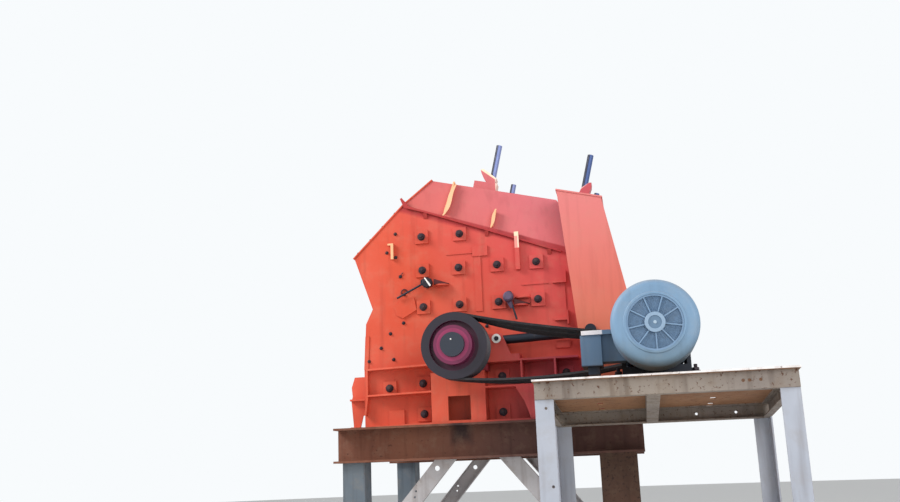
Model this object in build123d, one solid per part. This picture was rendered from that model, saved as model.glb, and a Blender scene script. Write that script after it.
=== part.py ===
from build123d import *
import os
from math import asin, atan2, cos, degrees, hypot, radians, sin

# Impact crusher with its motor, belt drive, motor platform and steel base frame.
# Frame: X runs from the feed inlet towards the motor, Y away from the drive side, Z up.
# The origin is the centre of the foot of the front column on the drive side.
# All values are millimetres.

# Base frame
deck_z = 2000
beam_height = 300
beam_width = 300
beam_web = 12
beam_flange = 18
beam_front_x = -170
beam_rear_x = 2500
cross_beam_height = 200
cross_beam_width = 160
front_column_size = 200
rear_column_x = 2278
rear_column_size = 300
column_wall = 12
foot_plate_margin = 60
foot_plate = 20
brace_depth = 140
brace_flange = 50
brace_wall = 10
front_brace_foot_z = 900
front_brace_head_x = 800
rear_brace_foot_z = 795
rear_brace_head_x = 1363
brace_holes = ((727, 1628, 22), (532, 1442, 9), (521, 1392, 9))

# Crusher housing
side_y = 100
housing_width = 1700
side_plate = 25
wall_plate = 25
joint_z = 2526
front_wall_x = 52
lower_rear_x = 2075
inlet_low_x = -28
inlet_low_z = 3572
inlet_high_x = 459
inlet_high_z = 4050
hood_rear_x = 1985
hood_rear_z = 3464
hood_knee_x = 1945
hood_knee_z = 3930
hood_top_x = 1876
hood_top_z = 4022
throat_x = 141
throat_z = 3080
throat_foot_x = 74
throat_foot_z = 2944
ridge_front_x = 716
ridge_front_z = 4302
ridge_front_inset = 120
ridge_rear_x = 1886
ridge_rear_z = 4020
ridge_rear_inset = 177
hood_plate = 16
roof_plate_thickness = 16
inlet_flange_width = 80
inlet_flange_thickness = 12
inlet_flange_out = 8
rib_plate = 16
middle_rib_z = 2276
bay_front_x = 82
bay_front_y = 40
front_strip_outline = [(82, 2526), (98, 2526), (98, 2262), (78, 2113), (62, 2113), (82, 2265)]
pedestal_front_x = 712
pedestal_rear_x = 1190
pedestal_depth = 205
rib_rear_x = 2005
pedestal_plate = 25
window_front_x = 860
window_rear_x = 1057
window_low_z = 2025
window_high_z = 2233
rear_bay_walls = (1505, 1795)
rear_shelf_z = 2290
bay_cover_outline = [(1450, 2290), (1523, 2165), (1552, 2086), (1573, 2016), (2005, 2016), (2005, 2290)]
bay_cover_hole = (1862, 2200, 14)
front_bay_x = -90
front_shelf_z = 2250
front_foot_x = (-85, 5)
front_gusset_outline = [
    (52, 2467),
    (-56, 2467),
    (-86, 2375),
    (-78, 2293),
    (-90, 2250),
    (-68, 2000),
    (-10, 2000),
    (19, 2116),
    (52, 2134),
]

# Fittings on the side plates: places along X and heights
pad_size = 125
pad_thickness = 20
upper_pads = ((3725, (625, 985)), (3408, (625, 965, 1320, 1677)), (3066, (625, 963, 1320, 1675)))
lower_pads = ((292, 2345), (602, 2372), (606, 2102), (1313, 2088), (1320, 2400), (1885, 2400))
low_cover = (278, 422, 2016, 2148)
cover_outline = [(353, 3070), (410, 3148), (537, 3160), (560, 3046), (430, 2975), (372, 3005)]
cover_thickness = 16
seam_height = 8
edge_lip = 28
edge_lip_front_x = 480
edge_lip_rear_x = 1905
horn_depth = 12
horn_outline = [
    (432, 4108),
    (447, 4118),
    (505, 4048),
    (505, 4032),
    (740, 3942),
    (617, 3972),
    (468, 4020),
    (455, 4050),
]
edge_bar_outline = [(52, 2526), (68, 2830), (106, 2830), (90, 2526)]
hood_rib_height = 45
shelf_places = [(800, 3256), (1532, 3088), (1515, 3022)]
shelf_radius = 70
lever_ends = [((650, 3285), (386, 3159)), ((1420, 3115), (1478, 2892))]
lever_hub_radius = 34
lever_hub_length = 75
lever_radius = 9

# Rotor
rotor_x = 990
rotor_z = 2632
rotor_radius = 600
shaft_radius = 75
shaft_seat_radius = 105
disc_radius = 530
disc_thickness = 45
disc_count = 4
bar_count = 4
bar_thickness = 90
bar_depth = 250
rotor_side_gap = 40
bearing_radius = 190
bearing_width = 130
bearing_foot = 60
running_fit = 0.05
far_shaft_stub = 30
seat_reach = 20

# Belt drive
belt_y = -325
belt_count = 8
belt_pitch = 25.5
belt_width = 22
belt_height = 18
belt_gap = 0.6
belt_crown = 0.8
belt_band = 4
groove_depth = 24
groove_lean = 0.33
pulley_edge = 17
driven_radius = 284
drive_radius = 102
driven_hub_radius = 102
driven_hub_reach = 85
driven_recess_radius = 212
recess_depth = 60
boss_ring_radius = 166
boss_ring_reach = 50
drive_bore_radius = 40

# Motor
motor_x = 2627
motor_z = 2537
motor_shaft_height = 315
rail_height = 40
cowl_y = -1700
cowl_radius = 302
cowl_length = 330
cowl_wall = 6
motor_body_radius = 285
casing_radius = 262
fin_count = 40
fin_thickness = 6
spigot_length = 30
cowl_bend = 48
mouth_ring_radius = 214
motor_body_rear_y = -560
end_shield_radius = 240
end_shield_depth = 60
grille_radius = 195
grille_rim = 14
grille_hub_radius = 62
grille_eye_radius = 30
grille_rib = 9
grille_rib_count = 9
fan_setback = 50
fan_width = 70
fan_radius = 235
fan_hub_radius = 75
fan_blade_count = 12
motor_shaft_radius = 40
motor_shaft_end_y = -212
foot_setback = 270
foot_length = 440
foot_half = 310
foot_thickness = 30
foot_web = 30
foot_web_x = 235
rail_length = 780
rail_width = 90
box_front_x = 2096
box_rear_x = 2245
box_low_z = 2299
box_high_z = 2555
box_depth = 250
box_lid = 32
box_lip = 10
box_neck_inset = 40
box_neck_low_z = 2330
gland_outline = (2138, 2221, 2242)

# Motor platform
platform_front_x = 1777
platform_rear_x = 3512
platform_near_y = -1830
platform_far_y = -175
platform_fall = 4.6
platform_plate_thickness = 12
plate_overhang = 45
slot_centres = (2180, 3040)
slot_places = (-960, -610, -300)
slot_width = 110
slot_length = 46
web_hole_radius = 11
near_web_holes = (3150, 3190, 3260)
far_web_holes = (2560, 2930, 3240)
channel_height = 118
channel_flange = 58
middle_member_x = 2575
middle_member_width = 92
channel_wall = 10
leg_size = 127
leg_wall = 12
leg_inset = 12
leg_holes = ((1885, 2072), (1862, 1990), (1880, 1478))
leg_hole_radius = 10
leg_foot = 200

# Rear housing, hinged at its foot
panel_outset = 205
panel_top_front_x = 1911
panel_top_front_z = 3999
panel_top_rear_x = 2298
panel_top_rear_z = 3900
panel_foot_front_x = 2081
panel_foot_front_z = 2046
panel_foot_rear_x = 2613
panel_foot_rear_z = 2239
panel_plate = 20
top_plate = 14
top_overhang = 8
hinge_x = 2190
hinge_z = 2140
hinge_pin_radius = 30
hinge_bracket_plate = 25
hinge_bracket_gap = 12
hinge_bracket_width = 220
hinge_bracket_height = 250
hinge_hub_radius = 70

# Lift cylinders
anchor_x = 1310
anchor_z = 2709
boss_x = 2126
boss_z = 2738
boss_radius = 48
cylinder_y = 15
barrel_radius = 40
rod_radius = 24
barrel_length = 680
lift_pin_radius = 20
anchor_plate = 20
anchor_head = 45
anchor_foot_reach = 118
anchor_base_rear_x = 1503
anchor_base_height = 44
anchor_boss_proud = 10
eye_radius = 40
eye_width = 36
eye_slot = 22
eye_play = 2.5

# Aprons and adjusting rods
front_rod_y = 380
front_rod_x = 1196
rear_rod_y = 300
rear_rod_x = 2106
adjust_rod_radius = 28
front_rod_reach = 480
far_front_rod_reach = 425
rear_rod_reach = 480
rod_block_width = 110
front_block_length = 222
front_block_height = 92
front_rod_offset = 53
front_seat_outline = [(-72, 115), (-45, 125), (94, 50), (91, 0), (10, 0), (-23, 30), (-56, 79)]
rear_block_length = 190
rear_block_height = 65
rear_seat_outline = [(-40, 0), (-36, 23), (-22, 80), (39, 138), (60, 141), (65, 103), (52, 0)]
apron_side_gap = 45
apron_shaft_x = 960
apron_shaft_z = 4085
apron_shaft_radius = 40
rear_shaft_x = 2070
rear_shaft_z = 3605
apron_hanger_y = 250
apron_hanger_plate = 30
hanger_depth = 70
hanger_half = 80

# Worked-out places
mid_y = side_y + housing_width / 2
far_y = side_y + housing_width
inner_near_y = side_y + side_plate
inner_far_y = far_y - side_plate
beam_low_z = deck_z - beam_height
panel_near_y = side_y - panel_outset
panel_far_y = far_y + panel_outset
platform_z = motor_z - motor_shaft_height - rail_height


def block(x0, x1, y0, y1, z0, z1):
    """A plate or bar with its corners at the given places."""
    size = Box(abs(x1 - x0), abs(y1 - y0), abs(z1 - z0))
    return Pos((x0 + x1) / 2, (y0 + y1) / 2, (z0 + z1) / 2) * size


def side_profile(points, y0, y1):
    """A shape drawn in X and Z, with its thickness along Y."""
    plane = Plane(origin=(0, y0, 0), x_dir=(1, 0, 0), z_dir=(0, -1, 0))
    outline = make_face(Polyline(*points, close=True))
    return extrude(plane * outline, -(y1 - y0))


def round_bar(x, z, radius, y0, y1):
    """A round bar along Y."""
    bar = Cylinder(radius, abs(y1 - y0))
    return Pos(x, (y0 + y1) / 2, z) * Rot(90, 0, 0) * bar


def mirrored(shape):
    """The same piece on the far side of the housing."""
    return shape.mirror(Plane.XZ.offset(-mid_y))


def both_sides(shape):
    """A near piece and its far twin, as separate solids."""
    return Compound(children=[*shape.solids(), *mirrored(shape).solids()])


def several(*shapes):
    """Separate solids that share a node."""
    solids = [solid for shape in shapes for solid in shape.solids()]
    return Compound(children=solids)


nodes = {}


# Base frame

def i_beam(x0, x1, y, z_top, height, width, web, flange):
    """A rolled beam along X."""
    z_low = z_top - height
    beam = block(x0, x1, y - width / 2, y + width / 2, z_top - flange, z_top)
    beam += block(x0, x1, y - width / 2, y + width / 2, z_low, z_low + flange)
    beam += block(x0, x1, y - web / 2, y + web / 2, z_low, z_top)
    return beam


near_beam = i_beam(
    beam_front_x, beam_rear_x, 0, deck_z, beam_height, beam_width, beam_web, beam_flange
)
nodes["base_beam_near"] = near_beam
nodes["base_beam_far"] = mirrored(near_beam)


def cross_beam(x):
    """A rolled beam along Y, between the webs of the two base beams."""
    y0 = beam_web / 2
    y1 = 2 * mid_y - beam_web / 2
    z1 = deck_z - beam_flange - 1
    z0 = z1 - cross_beam_height
    half = cross_beam_width / 2
    beam = block(x - half, x + half, y0, y1, z1 - beam_flange, z1)
    beam += block(x - half, x + half, y0, y1, z0, z0 + beam_flange)
    beam += block(x - beam_web / 2, x + beam_web / 2, y0, y1, z0, z1)
    return beam


nodes["base_cross_beams"] = several(cross_beam(0), cross_beam(rear_column_x))


def column(x, size):
    """A box column with its foot plate, under a base beam."""
    half = size / 2
    post = block(x - half, x + half, -half, half, foot_plate, beam_low_z)
    bore = half - column_wall
    post -= block(x - bore, x + bore, -bore, bore, foot_plate, beam_low_z)
    foot = half + foot_plate_margin
    return post + block(x - foot, x + foot, -foot, foot, 0, foot_plate)


nodes["front_columns"] = both_sides(column(0, front_column_size))
nodes["rear_columns"] = both_sides(column(rear_column_x, rear_column_size))


def knee_brace(x_foot, z_foot, x_head):
    """A channel from a column up to the underside of the beam."""
    direction = Vector(x_head - x_foot, 0, beam_low_z - z_foot).normalized()
    across = Vector(-direction.Z, 0, direction.X) * (brace_depth / 2)
    start = Vector(x_foot, 0, z_foot)
    end = Vector(x_head, 0, beam_low_z)
    reach = direction * (beam_height * 2)
    corners = [start - reach - across, end + reach - across]
    corners += [end + reach + across, start - reach + across]
    outline = [(p.X, p.Z) for p in corners]
    y_web = -brace_flange / 2
    brace = side_profile(outline, y_web, y_web + brace_wall)
    for side in (-1, 1):
        shift = Vector(-direction.Z, 0, direction.X) * side * (brace_depth - brace_wall) / 2
        thin = Vector(-direction.Z, 0, direction.X) * (brace_wall / 2)
        a = start - reach + shift
        b = end + reach + shift
        strip = [(p.X, p.Z) for p in (a - thin, b - thin, b + thin, a + thin)]
        brace += side_profile(strip, y_web, y_web + brace_flange)
    x_low = min(x_foot, x_head)
    x_high = max(x_foot, x_head) + brace_depth * 2
    if x_head < x_foot:
        x_low = min(x_foot, x_head) - brace_depth * 2
        x_high = x_foot
    window = block(x_low, x_high, -200, 200, 0, beam_low_z)
    brace = brace & window
    for x, z, radius in brace_holes:
        brace -= round_bar(x, z, radius, -200, 200)
    return brace


front_brace = knee_brace(front_column_size / 2, front_brace_foot_z, front_brace_head_x)
rear_brace = knee_brace(rear_column_x - rear_column_size / 2, rear_brace_foot_z, rear_brace_head_x)
nodes["knee_braces"] = several(both_sides(front_brace), both_sides(rear_brace))


# Lower housing

shaft_hole_radius = shaft_seat_radius + rotor_side_gap / 2


def bolt_pad(x, z):
    """Square pad on the near side plate under the head of a liner bolt."""
    half = pad_size / 2
    return block(x - half, x + half, side_y - pad_thickness, side_y, z - half, z + half)


def lower_side():
    """Near side plate of the lower housing with its ribs, bolt pads and covers."""
    plate = block(front_wall_x, lower_rear_x, side_y, inner_near_y, deck_z, joint_z)
    outer = side_y - pedestal_depth
    rib = Polyline(
        (bay_front_x, side_y),
        (bay_front_x, bay_front_y),
        (pedestal_front_x, outer),
        (pedestal_front_x, side_y),
        close=True,
    )
    for z in (deck_z, middle_rib_z, joint_z - rib_plate):
        plate += extrude(Pos(0, 0, z) * make_face(rib), rib_plate, dir=(0, 0, 1))
    plate += side_profile(front_strip_outline, bay_front_y, side_y)
    for z in (deck_z, rear_shelf_z, joint_z - rib_plate):
        plate += block(pedestal_rear_x, rib_rear_x, outer, side_y, z, z + rib_plate)
    for x in rear_bay_walls:
        plate += block(x, x + rib_plate, outer, side_y, rear_shelf_z, joint_z)
    cover = side_profile(bay_cover_outline, outer, outer + rib_plate)
    hole_x, hole_z, hole_radius = bay_cover_hole
    plate += cover - round_bar(hole_x, hole_z, hole_radius, outer, outer + rib_plate)
    x0, x1, z0, z1 = low_cover
    plate += block(x0, x1, side_y - pad_thickness, side_y, z0, z1)
    for x, z in lower_pads:
        plate += bolt_pad(x, z)
    return plate - round_bar(rotor_x, rotor_z, shaft_hole_radius, outer, inner_near_y)


nodes["lower_side_near"] = lower_side()
nodes["lower_side_far"] = mirrored(lower_side())

def lower_front_wall():
    """Front wall of the lower housing with a shelf, a foot and gussets on its outside."""
    wall = block(front_wall_x, front_wall_x + wall_plate, inner_near_y, inner_far_y, deck_z, joint_z)
    wall += block(front_bay_x, front_wall_x, side_y, far_y, front_shelf_z, front_shelf_z + rib_plate)
    wall += block(*front_foot_x, side_y, far_y, deck_z, deck_z + rib_plate)
    near_y = inner_near_y + wall_plate
    for y in (near_y, mid_y - rib_plate / 2, 2 * mid_y - near_y - rib_plate):
        wall += side_profile(front_gusset_outline, y, y + rib_plate)
    return wall


nodes["lower_front_wall"] = lower_front_wall()
nodes["lower_rear_wall"] = block(
    lower_rear_x - wall_plate, lower_rear_x, inner_near_y, inner_far_y, deck_z, joint_z
)


def pedestal():
    """Bearing support box with a square window, outside the near side plate."""
    front_y = side_y - pedestal_depth
    top_z = rotor_z - bearing_radius
    box = block(pedestal_front_x, pedestal_rear_x, front_y, side_y, deck_z, top_z)
    inner_x0 = pedestal_front_x + pedestal_plate
    inner_x1 = pedestal_rear_x - pedestal_plate
    box -= block(inner_x0, inner_x1, front_y + pedestal_plate, side_y, deck_z, top_z - pedestal_plate)
    wall_y = front_y + pedestal_plate
    return box - block(window_front_x, window_rear_x, front_y, wall_y, window_low_z, window_high_z)


nodes["bearing_pedestals"] = both_sides(pedestal())


def bearing_housing():
    """Near bearing housing with its foot, bored for the shaft."""
    y0 = side_y - pedestal_depth + 20
    y1 = y0 + bearing_width
    shell_radius = bearing_radius - wall_plate
    housing = round_bar(rotor_x, rotor_z, shell_radius, y0, y1)
    top_z = rotor_z - bearing_radius
    foot_half = bearing_radius * 1.2
    neck_half = shell_radius * 0.8
    housing += block(rotor_x - foot_half, rotor_x + foot_half, y0, y1, top_z, top_z + bearing_foot)
    housing += block(rotor_x - neck_half, rotor_x + neck_half, y0, y1, top_z, rotor_z)
    cap_y = y0 - rib_plate
    housing += round_bar(rotor_x, rotor_z, shell_radius * 0.85, cap_y, y0)
    return housing - round_bar(rotor_x, rotor_z, shaft_radius + running_fit, cap_y, y1)


nodes["bearing_housings"] = both_sides(bearing_housing())

# Upper housing

side_outline = [
    (inlet_low_x, inlet_low_z),
    (inlet_high_x, inlet_high_z),
    (hood_rear_x, hood_rear_z),
    (lower_rear_x, joint_z),
    (front_wall_x, joint_z),
    (throat_foot_x, throat_foot_z),
    (throat_x, throat_z),
]


inlet_slope = atan2(inlet_high_z - inlet_low_z, inlet_high_x - inlet_low_x)
lip = wall_plate * 1.4

front_wall_outline = [
    (front_wall_x, joint_z),
    (throat_foot_x, throat_foot_z),
    (throat_x, throat_z),
    (inlet_low_x, inlet_low_z),
    (inlet_low_x + lip * cos(inlet_slope), inlet_low_z + lip * sin(inlet_slope)),
    (throat_x + wall_plate * 1.1, throat_z),
    (throat_foot_x + wall_plate, throat_foot_z),
    (front_wall_x + wall_plate, joint_z),
]
nodes["upper_front_wall"] = side_profile(front_wall_outline, inner_near_y, inner_far_y)


def hood_side():
    """Near inclined plate between the side plate and the roof."""
    front_low = Vector(inlet_high_x, side_y, inlet_high_z)
    rear_low = Vector(hood_rear_x, side_y, hood_rear_z)
    front_high = Vector(ridge_front_x, side_y + ridge_front_inset, ridge_front_z)
    along = (rear_low - front_low).normalized()
    normal = along.cross(front_high - front_low).normalized()
    if normal.Y < 0:
        normal = normal * -1
    rear_knee = on_hood(hood_knee_x, hood_knee_z)
    rear_high = on_hood(hood_top_x, hood_top_z)
    outline = make_face(Polyline(front_low, rear_low, rear_knee, rear_high, front_high, close=True))
    return extrude(outline, hood_plate, dir=normal)


def on_hood(x, z):
    """The place on the near hood plate's outer face at an X and a height."""
    front_low = Vector(inlet_high_x, side_y, inlet_high_z)
    run_x = hood_rear_x - inlet_high_x
    drop = inlet_high_z - hood_rear_z
    rise = ridge_front_z - inlet_high_z + (ridge_front_x - inlet_high_x) * drop / run_x
    share = (z - front_low.Z + (x - front_low.X) * drop / run_x) / rise
    return Vector(x, side_y + ridge_front_inset * share, z)


def hood_rib(head, foot):
    """Rib that stands on the near hood plate, from a high place to a low one."""
    start = on_hood(*head)
    end = on_hood(*foot)
    outward = (end - start).cross(Vector(1, 0, 0))
    if outward.Y > 0:
        outward = outward * -1
    plane = Plane(origin=(start + end) * 0.5, x_dir=end - start, z_dir=outward)
    return plane * Pos(0, 0, hood_rib_height / 2) * Box((end - start).length, rib_plate, hood_rib_height)


near_hood = hood_side()
ribbed_hood = near_hood + hood_rib((936, 4250), (854, 3930)) + hood_rib((1323, 3922), (1290, 3766))
nodes["hood_side_near"] = ribbed_hood
nodes["hood_side_far"] = mirrored(ribbed_hood)


def edge_height(x):
    """Height of the side plate's sloping top edge at a place along the housing."""
    slope = (inlet_high_z - hood_rear_z) / (hood_rear_x - inlet_high_x)
    return inlet_high_z - (x - inlet_high_x) * slope


def edge_flange():
    """Strip along the near side plate's sloping top edge, with a bent-up tip at the inlet."""
    x0 = edge_lip_front_x
    x1 = edge_lip_rear_x
    outline = [(x0, edge_height(x0)), (x1, edge_height(x1))]
    outline += [(x1, edge_height(x1) - cover_thickness), (x0, edge_height(x0) - cover_thickness)]
    horn_y = side_y - edge_lip
    horn = side_profile(horn_outline, horn_y, horn_y + horn_depth)
    return side_profile(outline, horn_y, side_y) + horn


def side_bar(x0, x1, z0, z1, depth):
    """Plate or bar that stands out from the near side plate."""
    return block(x0, x1, side_y - depth, side_y, z0, z1)


def lever_shelves():
    """Half-round shelves that stand out beside each hand lever."""
    shelves = []
    for x, z in shelf_places:
        disc = Pos(x, side_y, z) * Cylinder(shelf_radius, seam_height * 1.5)
        shelves.append(disc & block(x - 100, x + 100, side_y - 100, side_y, z - 20, z + 20))
    return shelves


def side_fittings():
    """Cover plate, seam strips, stop lugs, a stay and a front edge bar on the near side plate."""
    cover = side_profile(cover_outline, side_y - cover_thickness, side_y)
    seams = side_bar(1096, 1237, 3503, 3598, cover_thickness)
    seams += side_bar(1105, 1170, 2995, 3503, seam_height)
    seams += side_bar(850, 1096, 3536, 3548, seam_height)
    seams += side_bar(1533, 1773, 3204, 3214, seam_height)
    seams += side_bar(1880, 1920, 2866, 3204, seam_height)
    lugs = side_bar(1810, 1935, 3200, 3214, edge_lip * 1.2)
    lugs += side_bar(1921, 1935, 3214, 3306, edge_lip * 1.2)
    lugs += side_bar(1812, 1935, 2862, 2884, edge_lip * 1.2)
    lugs += side_bar(1921, 1935, 2825, 2950, edge_lip * 1.2)
    lugs += side_bar(1815, 1935, 2618, 2682, edge_lip)
    lugs += side_bar(332, 356, 3534, 3684, edge_lip * 1.2)
    lugs += side_bar(303, 356, 3668, 3684, edge_lip * 1.2)
    stay = side_bar(1492, 1532, 3346, 3696, edge_lip * 1.5)
    edge_bar = side_profile(edge_bar_outline, side_y - seam_height, side_y)
    return [cover, seams, lugs, stay, edge_bar]


def upper_side():
    """Near side plate of the upper housing, with its top edge fitted under the hood plate."""
    plate = side_profile(side_outline, side_y, inner_near_y)
    plate -= round_bar(rotor_x, rotor_z, shaft_hole_radius, side_y, inner_near_y)
    for z, places in upper_pads:
        for x in places:
            plate += bolt_pad(x, z)
    for piece in [*side_fittings(), edge_flange(), *lever_shelves()]:
        plate += piece
    return plate - near_hood


nodes["upper_side_near"] = upper_side()
nodes["upper_side_far"] = mirrored(upper_side())


def hand_lever(hub, tip):
    """Hub on the side plate with a round lever that lies close to the plate."""
    lever_y = side_y - lever_hub_length * 0.6
    x, z = hub
    post = round_bar(x, z, lever_hub_radius, side_y - lever_hub_length, side_y)
    start = Vector(x, lever_y, z)
    run = Vector(tip[0], lever_y, tip[1]) - start
    plane = Plane(origin=start, z_dir=run)
    return post + plane * Pos(0, 0, run.length / 2) * Cylinder(lever_radius, run.length)


levers = [hand_lever(hub, tip) for hub, tip in lever_ends]
nodes["hand_levers"] = several(*[both_sides(lever) for lever in levers])


def roof():
    """Sloping roof between the two hood plates."""
    lift = Vector(0, 0, 1)
    gap = hood_plate * 1.2
    corners = [
        Vector(ridge_front_x, side_y + ridge_front_inset + gap, ridge_front_z),
        Vector(ridge_rear_x, side_y + ridge_rear_inset + gap, ridge_rear_z),
        Vector(ridge_rear_x, far_y - ridge_rear_inset - gap, ridge_rear_z),
        Vector(ridge_front_x, far_y - ridge_front_inset - gap, ridge_front_z),
    ]
    outline = make_face(Polyline(*corners, close=True))
    return extrude(outline, -roof_plate_thickness, dir=lift)


nodes["roof"] = roof()

inlet_length = hypot(ridge_front_x - inlet_low_x, ridge_front_z - inlet_low_z)


def inlet_flange():
    """Flat flange round the slanting feed inlet."""
    origin = (inlet_low_x, mid_y, inlet_low_z)
    x_dir = (cos(inlet_slope), 0, sin(inlet_slope))
    z_dir = (-sin(inlet_slope), 0, cos(inlet_slope))
    plane = Plane(origin=origin, x_dir=x_dir, z_dir=z_dir)
    half = housing_width / 2
    knee = hypot(inlet_high_x - inlet_low_x, inlet_high_z - inlet_low_z)
    top_half = half - ridge_front_inset
    out = inlet_flange_out
    outer = [(-out, -half - out), (knee, -half - out), (inlet_length + out, -top_half - out)]
    outer += [(inlet_length + out, top_half + out), (knee, half + out), (-out, half + out)]
    band = inlet_flange_width
    inner = [(band, -half + band), (knee - band / 3, -half + band), (inlet_length - band, -top_half + band)]
    inner += [(inlet_length - band, top_half - band), (knee - band / 3, half - band), (band, half - band)]
    ring = make_face(Polyline(*outer, close=True)) - make_face(Polyline(*inner, close=True))
    return extrude(plane * ring, inlet_flange_thickness)


nodes["inlet_flange"] = inlet_flange()

roof_pitch = (ridge_front_z - ridge_rear_z) / (ridge_rear_x - ridge_front_x)
rod_lean = degrees(atan2(roof_pitch, 1))


def roof_height(x):
    """Height of the top of the roof at a place along the housing."""
    return ridge_front_z - (x - ridge_front_x) * roof_pitch


# Front apron, hung from a shaft under the roof

front_shield_outline = [
    (apron_shaft_x + 20, 3760),
    (1050, 3560),
    (1150, 3380),
    (1290, 3255),
    (1400, 3300),
    (1300, 3440),
    (1190, 3640),
    (1120, 3740),
]
front_arm_outline = [
    (apron_shaft_x - 60, apron_shaft_z - 60),
    (apron_shaft_x - 60, apron_shaft_z + 60),
    (apron_shaft_x + 60, apron_shaft_z + 60),
    (1120, 3740),
    (apron_shaft_x + 20, 3760),
]


def front_apron():
    """Shield plate with two arms that hang on the apron shaft."""
    apron = side_profile(front_shield_outline, inner_near_y + apron_side_gap, inner_far_y - apron_side_gap)
    arm_y = apron_hanger_y + apron_hanger_plate + 10
    arm = side_profile(front_arm_outline, arm_y, arm_y + 2 * apron_hanger_plate)
    apron += arm
    apron += mirrored(arm)
    return apron - round_bar(apron_shaft_x, apron_shaft_z, apron_shaft_radius, 0, 2 * mid_y)


nodes["front_apron"] = front_apron()
nodes["front_apron_shaft"] = round_bar(
    apron_shaft_x,
    apron_shaft_z,
    apron_shaft_radius,
    apron_hanger_y - 20,
    2 * mid_y - apron_hanger_y + 20,
)


def front_hanger():
    """Plate under the roof that holds one end of the apron shaft."""
    x0 = apron_shaft_x - hanger_half
    x1 = apron_shaft_x + hanger_half
    under = roof_plate_thickness
    outline = [(x0, apron_shaft_z - hanger_depth), (x1, apron_shaft_z - hanger_depth)]
    outline += [(x1, roof_height(x1) - under), (x0, roof_height(x0) - under)]
    plate = side_profile(outline, apron_hanger_y, apron_hanger_y + apron_hanger_plate)
    return plate - round_bar(apron_shaft_x, apron_shaft_z, apron_shaft_radius, 0, mid_y)


nodes["front_apron_hangers"] = both_sides(front_hanger())

# Adjusting rods on the roof


def on_slope(x, y, z, shape):
    """Stands a piece on the roof's slope, with its own Z along the slope's normal."""
    return Pos(x, y, z) * Rot(0, rod_lean, 0) * shape


def rod_bracket(length, height, seat_outline, rod_offset):
    """Block with a slanting seat on top, bored for an adjusting rod."""
    half = rod_block_width / 2
    seat = side_profile([(x, height + z) for x, z in seat_outline], -half, half)
    bore_length = 2 * max(z for _, z in seat_outline)
    bore = Cylinder(adjust_rod_radius + running_fit, bore_length)
    seat -= Pos(rod_offset, 0, height + bore_length / 2) * bore
    return seat + Pos(0, 0, height / 2) * Box(length, rod_block_width, height)


def rod_bar(rod_offset, foot, reach):
    """Round adjusting rod that stands in the bore of its bracket."""
    length = reach - foot
    return Pos(rod_offset, 0, foot + length / 2) * Cylinder(adjust_rod_radius, length)


def on_roof(shape):
    """Stands a piece on the near half of the roof."""
    return on_slope(front_rod_x, front_rod_y, roof_height(front_rod_x), shape)


front_bracket = rod_bracket(front_block_length, front_block_height, front_seat_outline, front_rod_offset)
nodes["front_rod_brackets"] = both_sides(on_roof(front_bracket))
nodes["front_adjusting_rods"] = several(
    on_roof(rod_bar(front_rod_offset, front_block_height, front_rod_reach)),
    mirrored(on_roof(rod_bar(front_rod_offset, front_block_height, far_front_rod_reach))),
)

# Rear housing

panel_outline = [
    (panel_top_front_x, panel_top_front_z),
    (panel_top_rear_x, panel_top_rear_z),
    (panel_foot_rear_x, panel_foot_rear_z),
    (panel_foot_front_x, panel_foot_front_z),
]


def rear_side():
    """Near side panel of the rear housing, bored for the hinge pin."""
    panel = side_profile(panel_outline, panel_near_y, panel_near_y + panel_plate)
    panel -= round_bar(
        hinge_x, hinge_z, hinge_pin_radius + running_fit, panel_near_y, panel_near_y + panel_plate
    )
    return panel


nodes["rear_side_near"] = rear_side()
nodes["rear_side_far"] = mirrored(rear_side())


def between(first, second, share):
    """A point part of the way from one point to another."""
    return (first[0] + (second[0] - first[0]) * share, first[1] + (second[1] - first[1]) * share)


def wall_strip(start, end, thickness):
    """Outline of a plate whose outer face runs from one point to another."""
    run = hypot(end[0] - start[0], end[1] - start[1])
    dx = (end[1] - start[1]) / run * thickness
    dz = -(end[0] - start[0]) / run * thickness
    return [start, end, (end[0] + dx, end[1] + dz), (start[0] + dx, start[1] + dz)]


back_y0 = panel_near_y + panel_plate
back_y1 = panel_far_y - panel_plate


nodes["rear_back_plate"] = side_profile(
    wall_strip(panel_outline[1], panel_outline[2], panel_plate), back_y0, back_y1
)
top_run = hypot(panel_top_rear_x - panel_top_front_x, panel_top_rear_z - panel_top_front_z)
top_slope = atan2(panel_top_front_z - panel_top_rear_z, panel_top_rear_x - panel_top_front_x)


def on_top_edge(along, above):
    """A place measured along the rear housing's top edge and square to it."""
    x = panel_top_front_x + along * cos(top_slope) + above * sin(top_slope)
    z = panel_top_front_z - along * sin(top_slope) + above * cos(top_slope)
    return (x, z)


nodes["rear_top_plate"] = side_profile(
    [
        on_top_edge(-top_overhang, 0),
        on_top_edge(top_run + top_overhang, 0),
        on_top_edge(top_run + top_overhang, top_plate),
        on_top_edge(-top_overhang, top_plate),
    ],
    panel_near_y - top_overhang,
    panel_far_y + top_overhang,
)


def front_flange():
    """Strip between the near side panel and the side plate, open for the cylinder."""
    start = between(panel_outline[0], panel_outline[3], 0.01)
    end = between(panel_outline[0], panel_outline[3], 0.86)
    strip = side_profile(wall_strip(start, end, -panel_plate), back_y0, side_y - 12)
    slot = block(boss_x - 300, boss_x + 100, cylinder_y - 60, cylinder_y + 60, boss_z - 75, boss_z + 75)
    return strip - slot


nodes["rear_front_flanges"] = both_sides(front_flange())

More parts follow.
